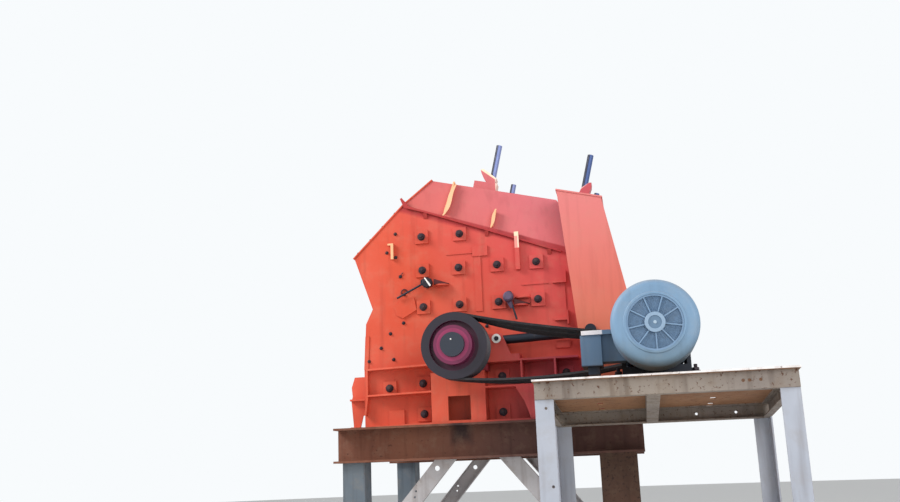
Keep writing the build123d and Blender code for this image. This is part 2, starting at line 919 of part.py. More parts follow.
rear_apron_outline = [
    (2040, 3640),
    (1900, 3440),
    (1760, 3230),
    (1650, 3000),
    (1605, 2870),
    (1680, 2830),
    (1760, 3020),
    (1860, 3200),
    (1990, 3390),
    (2120, 3580),
]
rear_apron = side_profile(
    rear_apron_outline, inner_near_y + apron_side_gap, inner_far_y - apron_side_gap
)
rear_apron += round_bar(
    rear_shaft_x, rear_shaft_z, 80, inner_near_y + apron_side_gap, inner_far_y - apron_side_gap
)
rear_apron -= round_bar(rear_shaft_x, rear_shaft_z, apron_shaft_radius, 0, 2 * mid_y)
nodes["rear_apron"] = rear_apron
nodes["rear_apron_shaft"] = round_bar(rear_shaft_x, rear_shaft_z, apron_shaft_radius, back_y0, back_y1)
rear_foot_z = panel_top_front_z + top_plate / cos(top_slope)
rear_foot_z -= (rear_rod_x - panel_top_front_x) * sin(top_slope) / cos(top_slope)


def on_rear_top(shape):
    """Stands a piece on the rear housing's top plate."""
    return Pos(rear_rod_x, rear_rod_y, rear_foot_z) * Rot(0, degrees(top_slope), 0) * shape


rear_bracket = rod_bracket(rear_block_length, rear_block_height, rear_seat_outline, 0)
nodes["rear_rod_brackets"] = both_sides(on_rear_top(rear_bracket))
nodes["rear_adjusting_rods"] = both_sides(on_rear_top(rod_bar(0, rear_block_height, rear_rod_reach)))

boss_pin = round_bar(boss_x, boss_z, lift_pin_radius, panel_near_y + panel_plate, side_y - panel_plate)
boss_pin += round_bar(boss_x, boss_z, boss_radius, panel_near_y - panel_plate, panel_near_y)
nodes["lift_boss_pins"] = both_sides(boss_pin)


def hinge_bracket():
    """Pair of plates that hold the near hinge pin on the base beam."""
    half = hinge_bracket_width / 2
    shape = [
        (hinge_x - half, deck_z),
        (hinge_x + half, deck_z),
        (hinge_x + half, hinge_z),
        (hinge_x + hinge_hub_radius, deck_z + hinge_bracket_height),
        (hinge_x - hinge_hub_radius, deck_z + hinge_bracket_height),
        (hinge_x - half, hinge_z),
    ]
    outer_y = panel_near_y - hinge_bracket_gap - hinge_bracket_plate
    inner_y = panel_near_y + panel_plate + hinge_bracket_gap
    outer = side_profile(shape, outer_y, outer_y + hinge_bracket_plate)
    inner = side_profile(shape, inner_y, inner_y + hinge_bracket_plate)
    hub_y = outer_y - hinge_bracket_plate / 2
    outer += round_bar(hinge_x, hinge_z, hinge_hub_radius, hub_y, outer_y)
    hole = round_bar(hinge_x, hinge_z, hinge_pin_radius, hub_y, inner_y + hinge_bracket_plate)
    return several(outer - hole, inner - hole)


nodes["hinge_brackets"] = both_sides(hinge_bracket())
pin_y0 = panel_near_y - hinge_bracket_gap - hinge_bracket_plate * 2
pin_y1 = panel_near_y + panel_plate + hinge_bracket_gap * 2 + hinge_bracket_plate
nodes["hinge_pins"] = both_sides(round_bar(hinge_x, hinge_z, hinge_pin_radius, pin_y0, pin_y1))

# Lift cylinders

lift_angle = degrees(atan2(boss_z - anchor_z, boss_x - anchor_x))
lift_length = hypot(boss_x - anchor_x, boss_z - anchor_z)
anchor_y = side_y - pedestal_depth


def anchor_bracket():
    """Box bracket on a thick base plate that holds the front end of the cylinder."""
    top_z = anchor_z + anchor_head
    base_z = joint_z + anchor_base_height
    outline = [(pedestal_rear_x, base_z), (anchor_x + anchor_foot_reach, base_z)]
    outline += [(anchor_x + anchor_head, top_z), (pedestal_rear_x, top_z)]
    plate = side_profile(outline, anchor_y, anchor_y + anchor_plate)
    web_x = pedestal_rear_x + anchor_plate
    plate += block(pedestal_rear_x, web_x, anchor_y, side_y, base_z, top_z)
    plate += block(pedestal_rear_x, anchor_base_rear_x, anchor_y, side_y, joint_z, base_z)
    boss_y = anchor_y - anchor_boss_proud
    plate += round_bar(anchor_x, anchor_z, anchor_head, boss_y, anchor_y)
    return plate - round_bar(anchor_x, anchor_z, lift_pin_radius, boss_y, side_y)


nodes["lift_anchor_brackets"] = both_sides(anchor_bracket())
anchor_pin = round_bar(anchor_x, anchor_z, lift_pin_radius, anchor_y - anchor_boss_proud * 2, side_y)
nodes["lift_anchor_pins"] = both_sides(anchor_pin)


def along_lift(shape):
    """Turns a piece drawn along X from the anchor pin onto the cylinder's line."""
    return Pos(anchor_x, cylinder_y, anchor_z) * Rot(0, -lift_angle, 0) * shape


def eye(x, hole_radius, slot):
    """A round eye across the cylinder, with a slotted hole."""
    ring = Pos(x, 0, 0) * Rot(90, 0, 0) * Cylinder(eye_radius, eye_width)
    hole = Pos(x, 0, 0) * Rot(90, 0, 0) * Cylinder(hole_radius, eye_width)
    if slot > 0:
        hole += Pos(x, 0, 0) * Box(hole_radius * 2, eye_width, slot)
        hole += Pos(x, 0, slot / 2) * Rot(90, 0, 0) * Cylinder(hole_radius, eye_width)
        hole += Pos(x, 0, -slot / 2) * Rot(90, 0, 0) * Cylinder(hole_radius, eye_width)
    return ring - hole


barrel_start = eye_radius - 4
barrel = Pos(barrel_start + barrel_length / 2, 0, 0) * Rot(0, 90, 0) * Cylinder(barrel_radius, barrel_length)
barrel_bore_length = barrel_length - 30
barrel -= (
    Pos(barrel_start + 30 + barrel_bore_length / 2, 0, 0)
    * Rot(0, 90, 0)
    * Cylinder(rod_radius + running_fit, barrel_bore_length)
)
barrel += eye(0, lift_pin_radius + running_fit, 0)
nodes["lift_barrels"] = both_sides(along_lift(barrel))
rod_start = barrel_start + 60
rod_end = lift_length - eye_radius + 4
rod = Pos((rod_start + rod_end) / 2, 0, 0) * Rot(0, 90, 0) * Cylinder(rod_radius, rod_end - rod_start)
rod += eye(lift_length, lift_pin_radius + eye_play, eye_slot)
nodes["lift_rods"] = both_sides(along_lift(rod))

# Rotor

pulley_width = (belt_count - 1) * belt_pitch + 2 * pulley_edge
pulley_y0 = belt_y - pulley_width / 2
pulley_y1 = belt_y + pulley_width / 2
hub_y = pulley_y0 - driven_hub_reach
shaft = round_bar(rotor_x, rotor_z, shaft_radius, hub_y, far_y + pedestal_depth + far_shaft_stub)
shaft += round_bar(rotor_x, rotor_z, shaft_seat_radius, side_y - seat_reach, far_y + seat_reach)
nodes["rotor_shaft"] = shaft

rotor_near_y = inner_near_y + rotor_side_gap
rotor_far_y = inner_far_y - rotor_side_gap
disc_pitch = (rotor_far_y - rotor_near_y - disc_thickness) / (disc_count - 1)


def blow_bar():
    """A blow bar along the rotor, at the top: a bar with a waist that its slot holds."""
    half = bar_thickness / 2
    waist = half * 0.7
    low = rotor_z + rotor_radius - bar_depth
    high = rotor_z + rotor_radius
    outline = [(-half, low), (half, low), (half, low + bar_depth * 0.28), (waist, low + bar_depth * 0.36)]
    outline += [(waist, high - bar_depth * 0.36), (half, high - bar_depth * 0.28), (half, high)]
    outline += [(-half, high), (-half, high - bar_depth * 0.28), (-waist, high - bar_depth * 0.36)]
    outline += [(-waist, low + bar_depth * 0.36), (-half, low + bar_depth * 0.28)]
    return side_profile([(rotor_x + x, z) for x, z in outline], rotor_near_y, rotor_far_y)


def turned(shape, index):
    """A piece turned about the rotor's axis to its place in the pattern."""
    axis = Axis((rotor_x, 0, rotor_z), (0, 1, 0))
    return shape.rotate(axis, 45 + index * 360 / bar_count)


bars = [turned(blow_bar(), i) for i in range(bar_count)]
discs = []
for i in range(disc_count):
    y = rotor_near_y + i * disc_pitch
    disc = round_bar(rotor_x, rotor_z, disc_radius, y, y + disc_thickness)
    disc -= round_bar(rotor_x, rotor_z, shaft_seat_radius, y, y + disc_thickness)
    for bar in bars:
        disc -= bar
    discs.append(disc)
nodes["rotor_discs"] = several(*discs)
nodes["blow_bars"] = several(*bars)

# Belt drive


def grooved_wheel(radius):
    """Half profile of a grooved pulley, turned about its axis along Y."""
    points = [(0, pulley_y0), (radius, pulley_y0)]
    for i in range(belt_count):
        y = belt_y + (i - (belt_count - 1) / 2) * belt_pitch
        mouth = belt_width / 2 + belt_gap
        floor = mouth - groove_depth * groove_lean
        points += [(radius, y - mouth), (radius - groove_depth, y - floor)]
        points += [(radius - groove_depth, y + floor), (radius, y + mouth)]
    points += [(radius, pulley_y1), (0, pulley_y1)]
    face = make_face(Polyline(*points, close=True))
    return revolve(face, Axis.Y)


driven = Pos(rotor_x, 0, rotor_z) * grooved_wheel(driven_radius)
driven -= round_bar(rotor_x, rotor_z, driven_recess_radius, pulley_y0, pulley_y0 + recess_depth)
boss_y = pulley_y0 - boss_ring_reach
driven += round_bar(rotor_x, rotor_z, boss_ring_radius, boss_y, pulley_y0 + recess_depth)
driven += round_bar(rotor_x, rotor_z, driven_hub_radius, hub_y, pulley_y0 + recess_depth)
driven -= round_bar(rotor_x, rotor_z, shaft_radius, hub_y, pulley_y1)
nodes["driven_pulley"] = driven
drive = Pos(motor_x, 0, motor_z) * grooved_wheel(drive_radius)
drive -= round_bar(motor_x, motor_z, drive_bore_radius, pulley_y0, pulley_y1)
nodes["motor_pulley"] = drive

centre_distance = hypot(motor_x - rotor_x, motor_z - rotor_z)
centre_angle = atan2(motor_z - rotor_z, motor_x - rotor_x)
wrap = asin((driven_radius - drive_radius) / centre_distance)


def belt_path(offset):
    """Path of the loop at an offset from both pulley rims."""
    driven_r = driven_radius + offset
    drive_r = drive_radius + offset
    up = centre_angle + radians(90) - wrap
    down = centre_angle - radians(90) + wrap
    a = (rotor_x + driven_r * cos(up), rotor_z + driven_r * sin(up))
    b = (motor_x + drive_r * cos(up), motor_z + drive_r * sin(up))
    c = (motor_x + drive_r * cos(centre_angle), motor_z + drive_r * sin(centre_angle))
    d = (motor_x + drive_r * cos(down), motor_z + drive_r * sin(down))
    e = (rotor_x + driven_r * cos(down), rotor_z + driven_r * sin(down))
    f = (rotor_x - driven_r * cos(centre_angle), rotor_z - driven_r * sin(centre_angle))
    edges = [Line(a, b), ThreePointArc(b, c, d), Line(d, e), ThreePointArc(e, f, a)]
    return Wire(edges)


def belt_section():
    """Section of the belt set: V ribs side by side under one top band."""
    top = belt_width / 2
    foot = top - (belt_height - belt_crown) * groove_lean
    centres = [(i - (belt_count - 1) / 2) * belt_pitch for i in range(belt_count)]
    edge = centres[-1] + top
    points = [(edge, belt_crown + belt_band), (-edge, belt_crown + belt_band)]
    for centre in centres:
        points += [(centre - top, belt_crown), (centre - foot, belt_crown - belt_height)]
        points += [(centre + foot, belt_crown - belt_height), (centre + top, belt_crown)]
    return make_face(Polyline(*points, close=True))


def belts():
    """The belt set as one closed loop round both pulleys."""
    plane = Plane(origin=(0, belt_y, 0), x_dir=(1, 0, 0), z_dir=(0, -1, 0))
    up = centre_angle + radians(90) - wrap
    outward = Vector(cos(up), 0, sin(up))
    start = Vector(rotor_x, belt_y, rotor_z) + outward * driven_radius
    across = Vector(0, 1, 0)
    section = Plane(origin=start, x_dir=across, z_dir=across.cross(outward))
    return sweep(section * belt_section(), path=plane * belt_path(0))


nodes["v_belts"] = belts()

# Motor

motor_body_front_y = cowl_y + cowl_length
motor_shield_y = motor_body_rear_y - end_shield_depth
motor_foot_y0 = motor_body_front_y + foot_setback
motor_foot_y1 = motor_foot_y0 + foot_length
motor_foot_z = platform_z + rail_height
fin_tip_radius = motor_body_radius - fin_thickness / 2 + 0.1


def motor_body():
    """Finned casing between its end shields, bored for the shaft."""
    section = Circle(casing_radius)
    fin_height = motor_body_radius - casing_radius
    fin_middle = (casing_radius + motor_body_radius - fin_thickness) / 2
    fin = Pos(fin_middle, 0) * Rectangle(fin_height, fin_thickness)
    for i in range(fin_count):
        section += Rot(0, 0, (i + 0.5) * 360 / fin_count) * fin
    plane = Plane(origin=(motor_x, motor_shield_y, motor_z), x_dir=(1, 0, 0), z_dir=(0, -1, 0))
    body = extrude(plane * section, motor_shield_y - motor_body_front_y)
    rim_y = motor_body_front_y + spigot_length
    body += round_bar(motor_x, motor_z, motor_body_radius, motor_body_front_y, rim_y)
    spigot_y = motor_body_front_y - spigot_length
    body += round_bar(motor_x, motor_z, cowl_radius - cowl_wall, spigot_y, motor_body_front_y)
    body += round_bar(motor_x, motor_z, motor_body_radius, motor_shield_y - spigot_length, motor_shield_y)
    body += round_bar(motor_x, motor_z, end_shield_radius, motor_shield_y, motor_body_rear_y)
    bore_radius = motor_shaft_radius + running_fit
    return body - round_bar(motor_x, motor_z, bore_radius, spigot_y, motor_body_rear_y)


nodes["motor_body"] = motor_body()


def fan_cowl():
    """Pressed cowl with a rounded rim and a raised ring round its mouth, turned about its axis."""
    inner = cowl_radius - cowl_wall
    bend = cowl_bend
    front = cowl_y
    rise = cowl_wall
    arc_out = bend * (1 - cos(radians(45)))
    outer_mid = (cowl_radius - arc_out, front + arc_out)
    inner_bend = bend - cowl_wall
    arc_in = inner_bend * (1 - cos(radians(45)))
    inner_mid = (inner - arc_in, front + cowl_wall + arc_in)
    edges = [
        Line((cowl_radius, motor_body_front_y), (cowl_radius, front + bend)),
        ThreePointArc((cowl_radius, front + bend), outer_mid, (cowl_radius - bend, front)),
        Line((cowl_radius - bend, front), (mouth_ring_radius, front)),
        Line((mouth_ring_radius, front), (mouth_ring_radius - rise, front - rise)),
        Line((mouth_ring_radius - rise, front - rise), (grille_radius, front - rise)),
        Line((grille_radius, front - rise), (grille_radius, front + cowl_wall)),
        Line((grille_radius, front + cowl_wall), (inner - inner_bend, front + cowl_wall)),
        ThreePointArc((inner - inner_bend, front + cowl_wall), inner_mid, (inner, front + bend)),
        Line((inner, front + bend), (inner, motor_body_front_y)),
        Line((inner, motor_body_front_y), (cowl_radius, motor_body_front_y)),
    ]
    shell = revolve(make_face(Wire(edges)), Axis.Y)
    return Pos(motor_x, 0, motor_z) * shell


nodes["fan_cowl"] = fan_cowl()


def grille():
    """Guard of radial ribs, a hub ring and an outer ring in the mouth of the cowl."""
    y0 = cowl_y
    y1 = cowl_y + cowl_wall
    ring = round_bar(motor_x, motor_z, grille_radius, y0, y1)
    ring -= round_bar(motor_x, motor_z, grille_radius - grille_rim, y0, y1)
    hub = round_bar(motor_x, motor_z, grille_hub_radius, y0 - cowl_wall, y1)
    hub -= round_bar(motor_x, motor_z, grille_eye_radius, y0 - cowl_wall, y0)
    guard = ring + hub
    rib_low = motor_z - grille_radius + grille_rim / 2
    rib_high = motor_z - grille_hub_radius + grille_rim / 2
    half = grille_rib / 2
    for i in range(grille_rib_count):
        rib = block(motor_x - half, motor_x + half, y0, y1, rib_low, rib_high)
        guard += rib.rotate(Axis((motor_x, 0, motor_z), (0, 1, 0)), i * 360 / grille_rib_count)
    return guard


nodes["fan_grille"] = grille()
fan_y0 = cowl_y + fan_setback
fan_y1 = fan_y0 + fan_width
nodes["motor_shaft"] = round_bar(motor_x, motor_z, motor_shaft_radius, fan_y0, motor_shaft_end_y)


def motor_fan():
    """Fan with flat radial blades on a hub and back plate, inside the cowl."""
    fan = round_bar(motor_x, motor_z, fan_hub_radius, fan_y0, fan_y1)
    fan += round_bar(motor_x, motor_z, fan_radius, fan_y1 - cowl_wall, fan_y1)
    half = cowl_wall / 2
    hub_z = motor_z + fan_hub_radius * 0.8
    for i in range(fan_blade_count):
        blade = block(motor_x - half, motor_x + half, fan_y0, fan_y1, hub_z, motor_z + fan_radius)
        fan += blade.rotate(Axis((motor_x, 0, motor_z), (0, 1, 0)), i * 360 / fan_blade_count)
    return fan - round_bar(motor_x, motor_z, motor_shaft_radius, fan_y0, fan_y1)


nodes["motor_fan"] = motor_fan()


def motor_feet():
    """Cast feet under the motor body: a sole, two side webs and two cross webs."""
    y0 = motor_foot_y0
    y1 = motor_foot_y1
    low = motor_foot_z
    half = motor_x - foot_half
    feet = block(half, motor_x + foot_half, y0, y1, low, low + foot_thickness)
    for side in (-1, 1):
        web = motor_x + side * foot_web_x
        half_web = foot_web / 2
        feet += block(web - half_web, web + half_web, y0, y1, low, motor_z - motor_body_radius / 2)
    for y in (y0, y1 - foot_web):
        feet += block(motor_x - foot_web_x, motor_x + foot_web_x, y, y + foot_web, low, motor_z - foot_web_x)
    return feet - round_bar(motor_x, motor_z, fin_tip_radius, y0, y1)


nodes["motor_feet"] = motor_feet()


def sloped(shape):
    """A piece of the platform, turned so that the platform falls towards the crusher."""
    return shape.rotate(Axis((0, platform_near_y, platform_z), (1, 0, 0)), -platform_fall)


def motor_rail(y):
    """A rail along X that packs the level motor up from the falling platform."""
    half = rail_length / 2
    x0 = motor_x - half
    x1 = motor_x + half
    rail = block(x0, x1, y, y + rail_width, platform_z - rail_length / 2, motor_foot_z)
    under = block(x0 - 1, x1 + 1, platform_near_y, platform_far_y, platform_z - rail_length, platform_z)
    return rail - sloped(under)


nodes["motor_rails"] = several(
    motor_rail(motor_foot_y0 + rail_width / 4), motor_rail(motor_foot_y1 - rail_width * 1.25)
)


def junction_box():
    """Terminal box with a lid plate, a gland box under it and a neck from the motor body."""
    y0 = motor_body_front_y + spigot_length
    y1 = y0 + box_depth
    lid_z = box_high_z - box_lid
    neck_x = motor_x - end_shield_radius / 2
    box = block(box_front_x, box_rear_x, y0, y1, box_low_z, lid_z)
    box += block(box_front_x + box_lip, neck_x, y0 - box_lip, y1 + box_lip, lid_z, box_high_z)
    inset = box_neck_inset
    box += block(box_rear_x, neck_x, y0 + inset, y1 - inset, box_neck_low_z, lid_z)
    gland_x0, gland_x1, gland_z = gland_outline
    box += block(gland_x0, gland_x1, y0 + inset, y1 - inset, gland_z, box_low_z)
    box -= round_bar(motor_x, motor_z, motor_body_radius + running_fit, y0 - box_lip, y0)
    return box - round_bar(motor_x, motor_z, fin_tip_radius, y0, y1 + box_lip)


nodes["junction_box"] = junction_box()

# Motor platform


def platform_plate():
    """Top plate with slots for the motor rails."""
    low = platform_z - platform_plate_thickness
    plate = block(platform_front_x, platform_rear_x, platform_near_y, platform_far_y, low, platform_z)
    for x in slot_centres:
        for y in slot_places:
            slot = Pos(x, y, platform_z) * Box(slot_length, slot_width, 4 * platform_plate_thickness)
            plate -= slot
    return sloped(plate)


nodes["platform_plate"] = platform_plate()
channel_top = platform_z - platform_plate_thickness
channel_low = channel_top - channel_height
frame_x0 = platform_front_x + leg_inset
frame_x1 = platform_rear_x - leg_inset
frame_y0 = platform_near_y + plate_overhang
frame_y1 = platform_far_y - leg_inset


def channel_x(y_web, side, x0, x1):
    """A channel along X whose web stands at a place and whose flanges point one way."""
    piece = block(x0, x1, y_web, y_web + side * channel_wall, channel_low, channel_top)
    reach = y_web + side * channel_flange
    piece += block(x0, x1, y_web, reach, channel_low, channel_low + channel_wall)
    piece += block(x0, x1, y_web, reach, channel_top - channel_wall, channel_top)
    return piece


def member_y(x_web, x0, x1):
    """A member along Y between the two channels, with a web and two flanges."""
    y0 = frame_y0 + channel_flange
    y1 = frame_y1 - channel_flange
    piece = block(x_web, x_web + channel_wall, y0, y1, channel_low, channel_top)
    piece += block(x0, x1, y0, y1, channel_low, channel_low + channel_wall)
    piece += block(x0, x1, y0, y1, channel_top - channel_wall, channel_top)
    return piece


web_middle_z = channel_top - channel_height / 2


def drilled(piece, y, places):
    """A channel with round holes through its web."""
    for x in places:
        piece -= round_bar(x, web_middle_z, web_hole_radius, y - channel_wall, y + channel_wall)
    return piece


near_channel = drilled(channel_x(frame_y0, 1, frame_x0, frame_x1), frame_y0, near_web_holes)
far_channel = drilled(channel_x(frame_y1, -1, frame_x0, frame_x1), frame_y1, far_web_holes)
nodes["platform_beams"] = several(sloped(near_channel), sloped(far_channel))
middle_half = middle_member_width / 2
nodes["platform_cross_members"] = several(
    sloped(member_y(frame_x0, frame_x0, frame_x0 + channel_flange)),
    sloped(member_y(frame_x1 - channel_wall, frame_x1 - channel_flange, frame_x1)),
    sloped(
        member_y(
            middle_member_x - channel_wall / 2,
            middle_member_x - middle_half,
            middle_member_x + middle_half,
        )
    ),
)


def leg(x, y, x_side, y_side):
    """An angle-iron leg with its foot plate; its corner is at x and y."""
    post = block(x, x + x_side * leg_size, y, y + y_side * leg_wall, foot_plate, channel_top)
    post += block(x, x + x_side * leg_wall, y, y + y_side * leg_size, foot_plate, channel_top)
    above_z = platform_z + 2 * channel_height
    above = block(platform_front_x, platform_rear_x, platform_near_y, 0, channel_low, above_z)
    post -= sloped(above)
    for hole_x, hole_z in leg_holes:
        post -= round_bar(hole_x, hole_z, leg_hole_radius, frame_y0, frame_y0 + leg_wall)
    return post + block(x, x + x_side * leg_foot, y, y + y_side * leg_foot, 0, foot_plate)


far_leg_y = frame_y1 - channel_height * sin(radians(platform_fall))
nodes["platform_legs"] = several(
    leg(frame_x0, frame_y0, 1, 1),
    leg(frame_x1, frame_y0, -1, 1),
    leg(frame_x0, far_leg_y, 1, -1),
    leg(frame_x1, far_leg_y, -1, -1),
)

os.makedirs("parts", exist_ok=True)
for name, shape in nodes.items():
    export_step(shape, "parts/" + name + ".step")
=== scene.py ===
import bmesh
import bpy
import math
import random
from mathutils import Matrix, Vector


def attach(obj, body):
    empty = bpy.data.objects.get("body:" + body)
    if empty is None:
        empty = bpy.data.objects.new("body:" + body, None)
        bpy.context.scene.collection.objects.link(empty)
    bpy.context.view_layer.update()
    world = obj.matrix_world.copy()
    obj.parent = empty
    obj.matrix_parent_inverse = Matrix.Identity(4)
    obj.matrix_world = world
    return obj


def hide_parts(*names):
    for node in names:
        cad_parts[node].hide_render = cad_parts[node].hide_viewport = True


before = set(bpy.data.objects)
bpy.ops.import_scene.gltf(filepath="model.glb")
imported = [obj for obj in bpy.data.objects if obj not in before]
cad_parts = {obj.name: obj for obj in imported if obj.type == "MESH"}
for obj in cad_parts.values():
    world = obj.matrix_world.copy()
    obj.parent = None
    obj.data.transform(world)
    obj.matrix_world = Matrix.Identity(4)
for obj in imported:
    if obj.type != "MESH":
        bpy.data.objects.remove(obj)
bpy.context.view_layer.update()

# %% [markdown]
# # An impact crusher on its steel frame
# A heavy welded housing of red-orange plate stands on a brown base frame. A motor on its own platform drives
# the rotor through a set of V-belts. The plates, columns and wheels come in with the frame as fixed meshes,
# so this lesson gives them their finishes and adds what is too small for the frame: bolts, nuts, knobs and
# wire mesh.

# %% [markdown]
# ## Camera
# The picture was taken from below the deck, at about eye level, looking up at the machine. The camera stands
# in front of the drive side and turns slightly left, with a small roll, as a hand-held camera does. Its place
# and angles were solved once, beforehand, so they are typed in as plain numbers.

# %% Camera at the photograph's viewing angle
image_width = 900
sensor_width = 36.0
focal_pixels = 933.9
camera_place = Vector((2.4576, -8.136, 1.6154))
camera_yaw = math.radians(-10.79)
camera_pitch = math.radians(13.15)
camera_roll = math.radians(-2.17)

camera_data = bpy.data.cameras.new("site_camera")
camera_data.sensor_width = sensor_width
camera_data.lens = focal_pixels / image_width * sensor_width
camera = bpy.data.objects.new("site_camera", camera_data)
bpy.context.scene.collection.objects.link(camera)
forward = Vector((
    math.sin(camera_yaw) * math.cos(camera_pitch),
    math.cos(camera_yaw) * math.cos(camera_pitch),
    math.sin(camera_pitch),
))
level_right = Vector((math.cos(camera_yaw), -math.sin(camera_yaw), 0))
level_up = level_right.cross(forward)
right = level_right * math.cos(camera_roll) + level_up * math.sin(camera_roll)
up = level_up * math.cos(camera_roll) - level_right * math.sin(camera_roll)
turn = Matrix((right, up, -forward)).transposed().to_4x4()
camera.matrix_world = Matrix.Translation(camera_place) @ turn
bpy.context.scene.camera = camera
print("lens in millimetres:", round(camera_data.lens, 2))

# %% [markdown]
# ## Colours and nodes
# A paint is named by its colour on a screen, but the renderer counts in linear light, so every colour goes
# through one function. Another adds a shader node with its settings and links, and a third starts a material
# from an empty tree.

# %% Colour, node and material helpers
def srgb(code):
    """Linear colour with alpha from an sRGB hex code."""
    channels = [int(code[i:i + 2], 16) / 255 for i in (1, 3, 5)]
    linear = [c / 12.92 if c <= 0.04045 else ((c + 0.055) / 1.055) ** 2.4 for c in channels]
    return (*linear, 1.0)


def add_node(tree, kind, props=None, inputs=None):
    """Adds a node, sets its properties, and sets or links its inputs."""
    node = tree.nodes.new(kind)
    for key, value in (props or {}).items():
        setattr(node, key, value)
    for key, value in (inputs or {}).items():
        if isinstance(value, bpy.types.NodeSocket):
            tree.links.new(value, node.inputs[key])
        else:
            node.inputs[key].default_value = value
    return node


def blank_material(name):
    """A new material with an empty node tree, and the tree."""
    material = bpy.data.materials.new(name)
    material.use_nodes = True
    material.node_tree.nodes.clear()
    return material, material.node_tree


print("half grey on a screen is", round(srgb("#808080")[0], 3), "in linear light")

# %% [markdown]
# ## Light
# A plain soft sky lights everything. One large lamp on the inlet side gives the ribs a bright edge and a
# dark edge, and a weaker one on the motor side keeps the shadows open. The background is only seen by the
# camera and by reflections, so it can be nearly white without adding light.

# %% Sky light and lamps
sky_strength = 0.62
world = bpy.data.worlds.new("soft_sky")
bpy.context.scene.world = world
world.use_nodes = True
sky = world.node_tree
sky.nodes.clear()
rays = add_node(sky, "ShaderNodeLightPath")
seen = add_node(
    sky, "ShaderNodeMath", {"operation": "MAXIMUM"},
    {0: rays.outputs["Is Camera Ray"], 1: rays.outputs["Is Glossy Ray"]},
)
lit = add_node(sky, "ShaderNodeBackground", None, {"Color": srgb("#F4F6FA"), "Strength": sky_strength})
shown = add_node(sky, "ShaderNodeBackground", None, {"Color": srgb("#F8FBFD"), "Strength": 1.0})
blend = add_node(
    sky, "ShaderNodeMixShader", None, {0: seen.outputs[0], 1: lit.outputs[0], 2: shown.outputs[0]},
)
add_node(sky, "ShaderNodeOutputWorld", None, {"Surface": blend.outputs[0]})
bpy.context.scene.view_settings.view_transform = "Standard"


def area_lamp(name, place, target, size, power):
    """Square lamp that faces a target."""
    data = bpy.data.lights.new(name, "AREA")
    data.size = size
    data.energy = power
    lamp = bpy.data.objects.new(name, data)
    bpy.context.scene.collection.objects.link(lamp)
    aim = Vector(target) - Vector(place)
    lamp.matrix_world = Matrix.Translation(place) @ aim.to_track_quat("-Z", "Y").to_matrix().to_4x4()


machine_middle = (1.4, 0.4, 2.6)
key_place, key_size, key_power = (-6.5, -4.0, 9.0), 4.0, 1000
fill_place, fill_size, fill_power = (7.5, -8.0, 5.0), 6.0, 420
area_lamp("key_lamp", key_place, machine_middle, key_size, key_power)
area_lamp("fill_lamp", fill_place, machine_middle, fill_size, fill_power)
print("sky strength", sky_strength, "and lamps of", key_power, "and", fill_power, "watts")

# %% [markdown]
# ## Floor
# The machine stands on a wide disc of pale paper, which belongs to the stage and not to the object. A flat
# disc is enough, because only the shadow on it and the light that it throws up under the deck are seen.

# %% Paper floor
floor_sides, floor_radius = 64, 60.0
bpy.ops.object.select_all(action="DESELECT")
bpy.ops.mesh.primitive_circle_add(
    vertices=floor_sides, radius=floor_radius, fill_type="NGON", location=(0, 0, 0)
)
floor = bpy.context.active_object
floor.name = "studio_floor"
floor_paint, floor_tree = blank_material("studio_floor_paper")
floor_shader = add_node(
    floor_tree, "ShaderNodeBsdfPrincipled", None,
    {"Base Color": srgb("#E8E8E5"), "Roughness": 0.9, "Specular IOR Level": 0.2},
)
add_node(floor_tree, "ShaderNodeOutputMaterial", None, {"Surface": floor_shader.outputs[0]})
floor.data.materials.append(floor_paint)
print("floor radius in metres:", floor_radius)

# %% [markdown]
# ## Weathered paint on steel
# Site machines are sprayed with thick alkyd enamel over primer. In the sun it fades in patches, dust settles
# on every ledge, rain draws faint streaks down the plates, and the edges chip to rust. One recipe with
# different colours and amounts serves every painted piece, because on the real machine it is the same kind
# of coat.

# %% Masks by place and by direction
def box_mask(tree, place, low, high, fade):
    """A value that is one inside a box and fades to nothing at its walls, over a share of its half size."""
    half = [(b - a) / 2 for a, b in zip(low, high)]
    centre = [(a + b) / 2 for a, b in zip(low, high)]
    fitted = add_node(
        tree, "ShaderNodeMapping", None,
        {"Vector": place, "Scale": [1 / h for h in half], "Location": [-c / h for c, h in zip(centre, half)]},
    )
    spread = add_node(tree, "ShaderNodeVectorMath", {"operation": "ABSOLUTE"}, {0: fitted.outputs[0]})
    parts = add_node(tree, "ShaderNodeSeparateXYZ", None, {"Vector": spread.outputs[0]})
    wide = add_node(
        tree, "ShaderNodeMath", {"operation": "MAXIMUM"}, {0: parts.outputs[0], 1: parts.outputs[1]},
    )
    widest = add_node(
        tree, "ShaderNodeMath", {"operation": "MAXIMUM"}, {0: wide.outputs[0], 1: parts.outputs[2]},
    )
    mask = add_node(
        tree, "ShaderNodeMapRange", None,
        {"Value": widest.outputs[0], "From Min": 1.0, "From Max": 1.0 - fade},
    )
    return mask.outputs[0]


def slope_mask(tree, place, direction, start, end):
    """A value that runs from nothing to one along a direction, between two distances from the origin."""
    along = add_node(
        tree, "ShaderNodeVectorMath", {"operation": "DOT_PRODUCT"},
        {0: place, 1: direction},
    )
    mask = add_node(
        tree, "ShaderNodeMapRange", None,
        {"Value": along.outputs["Value"], "From Min": start, "From Max": end},
    )
    return mask.outputs[0]


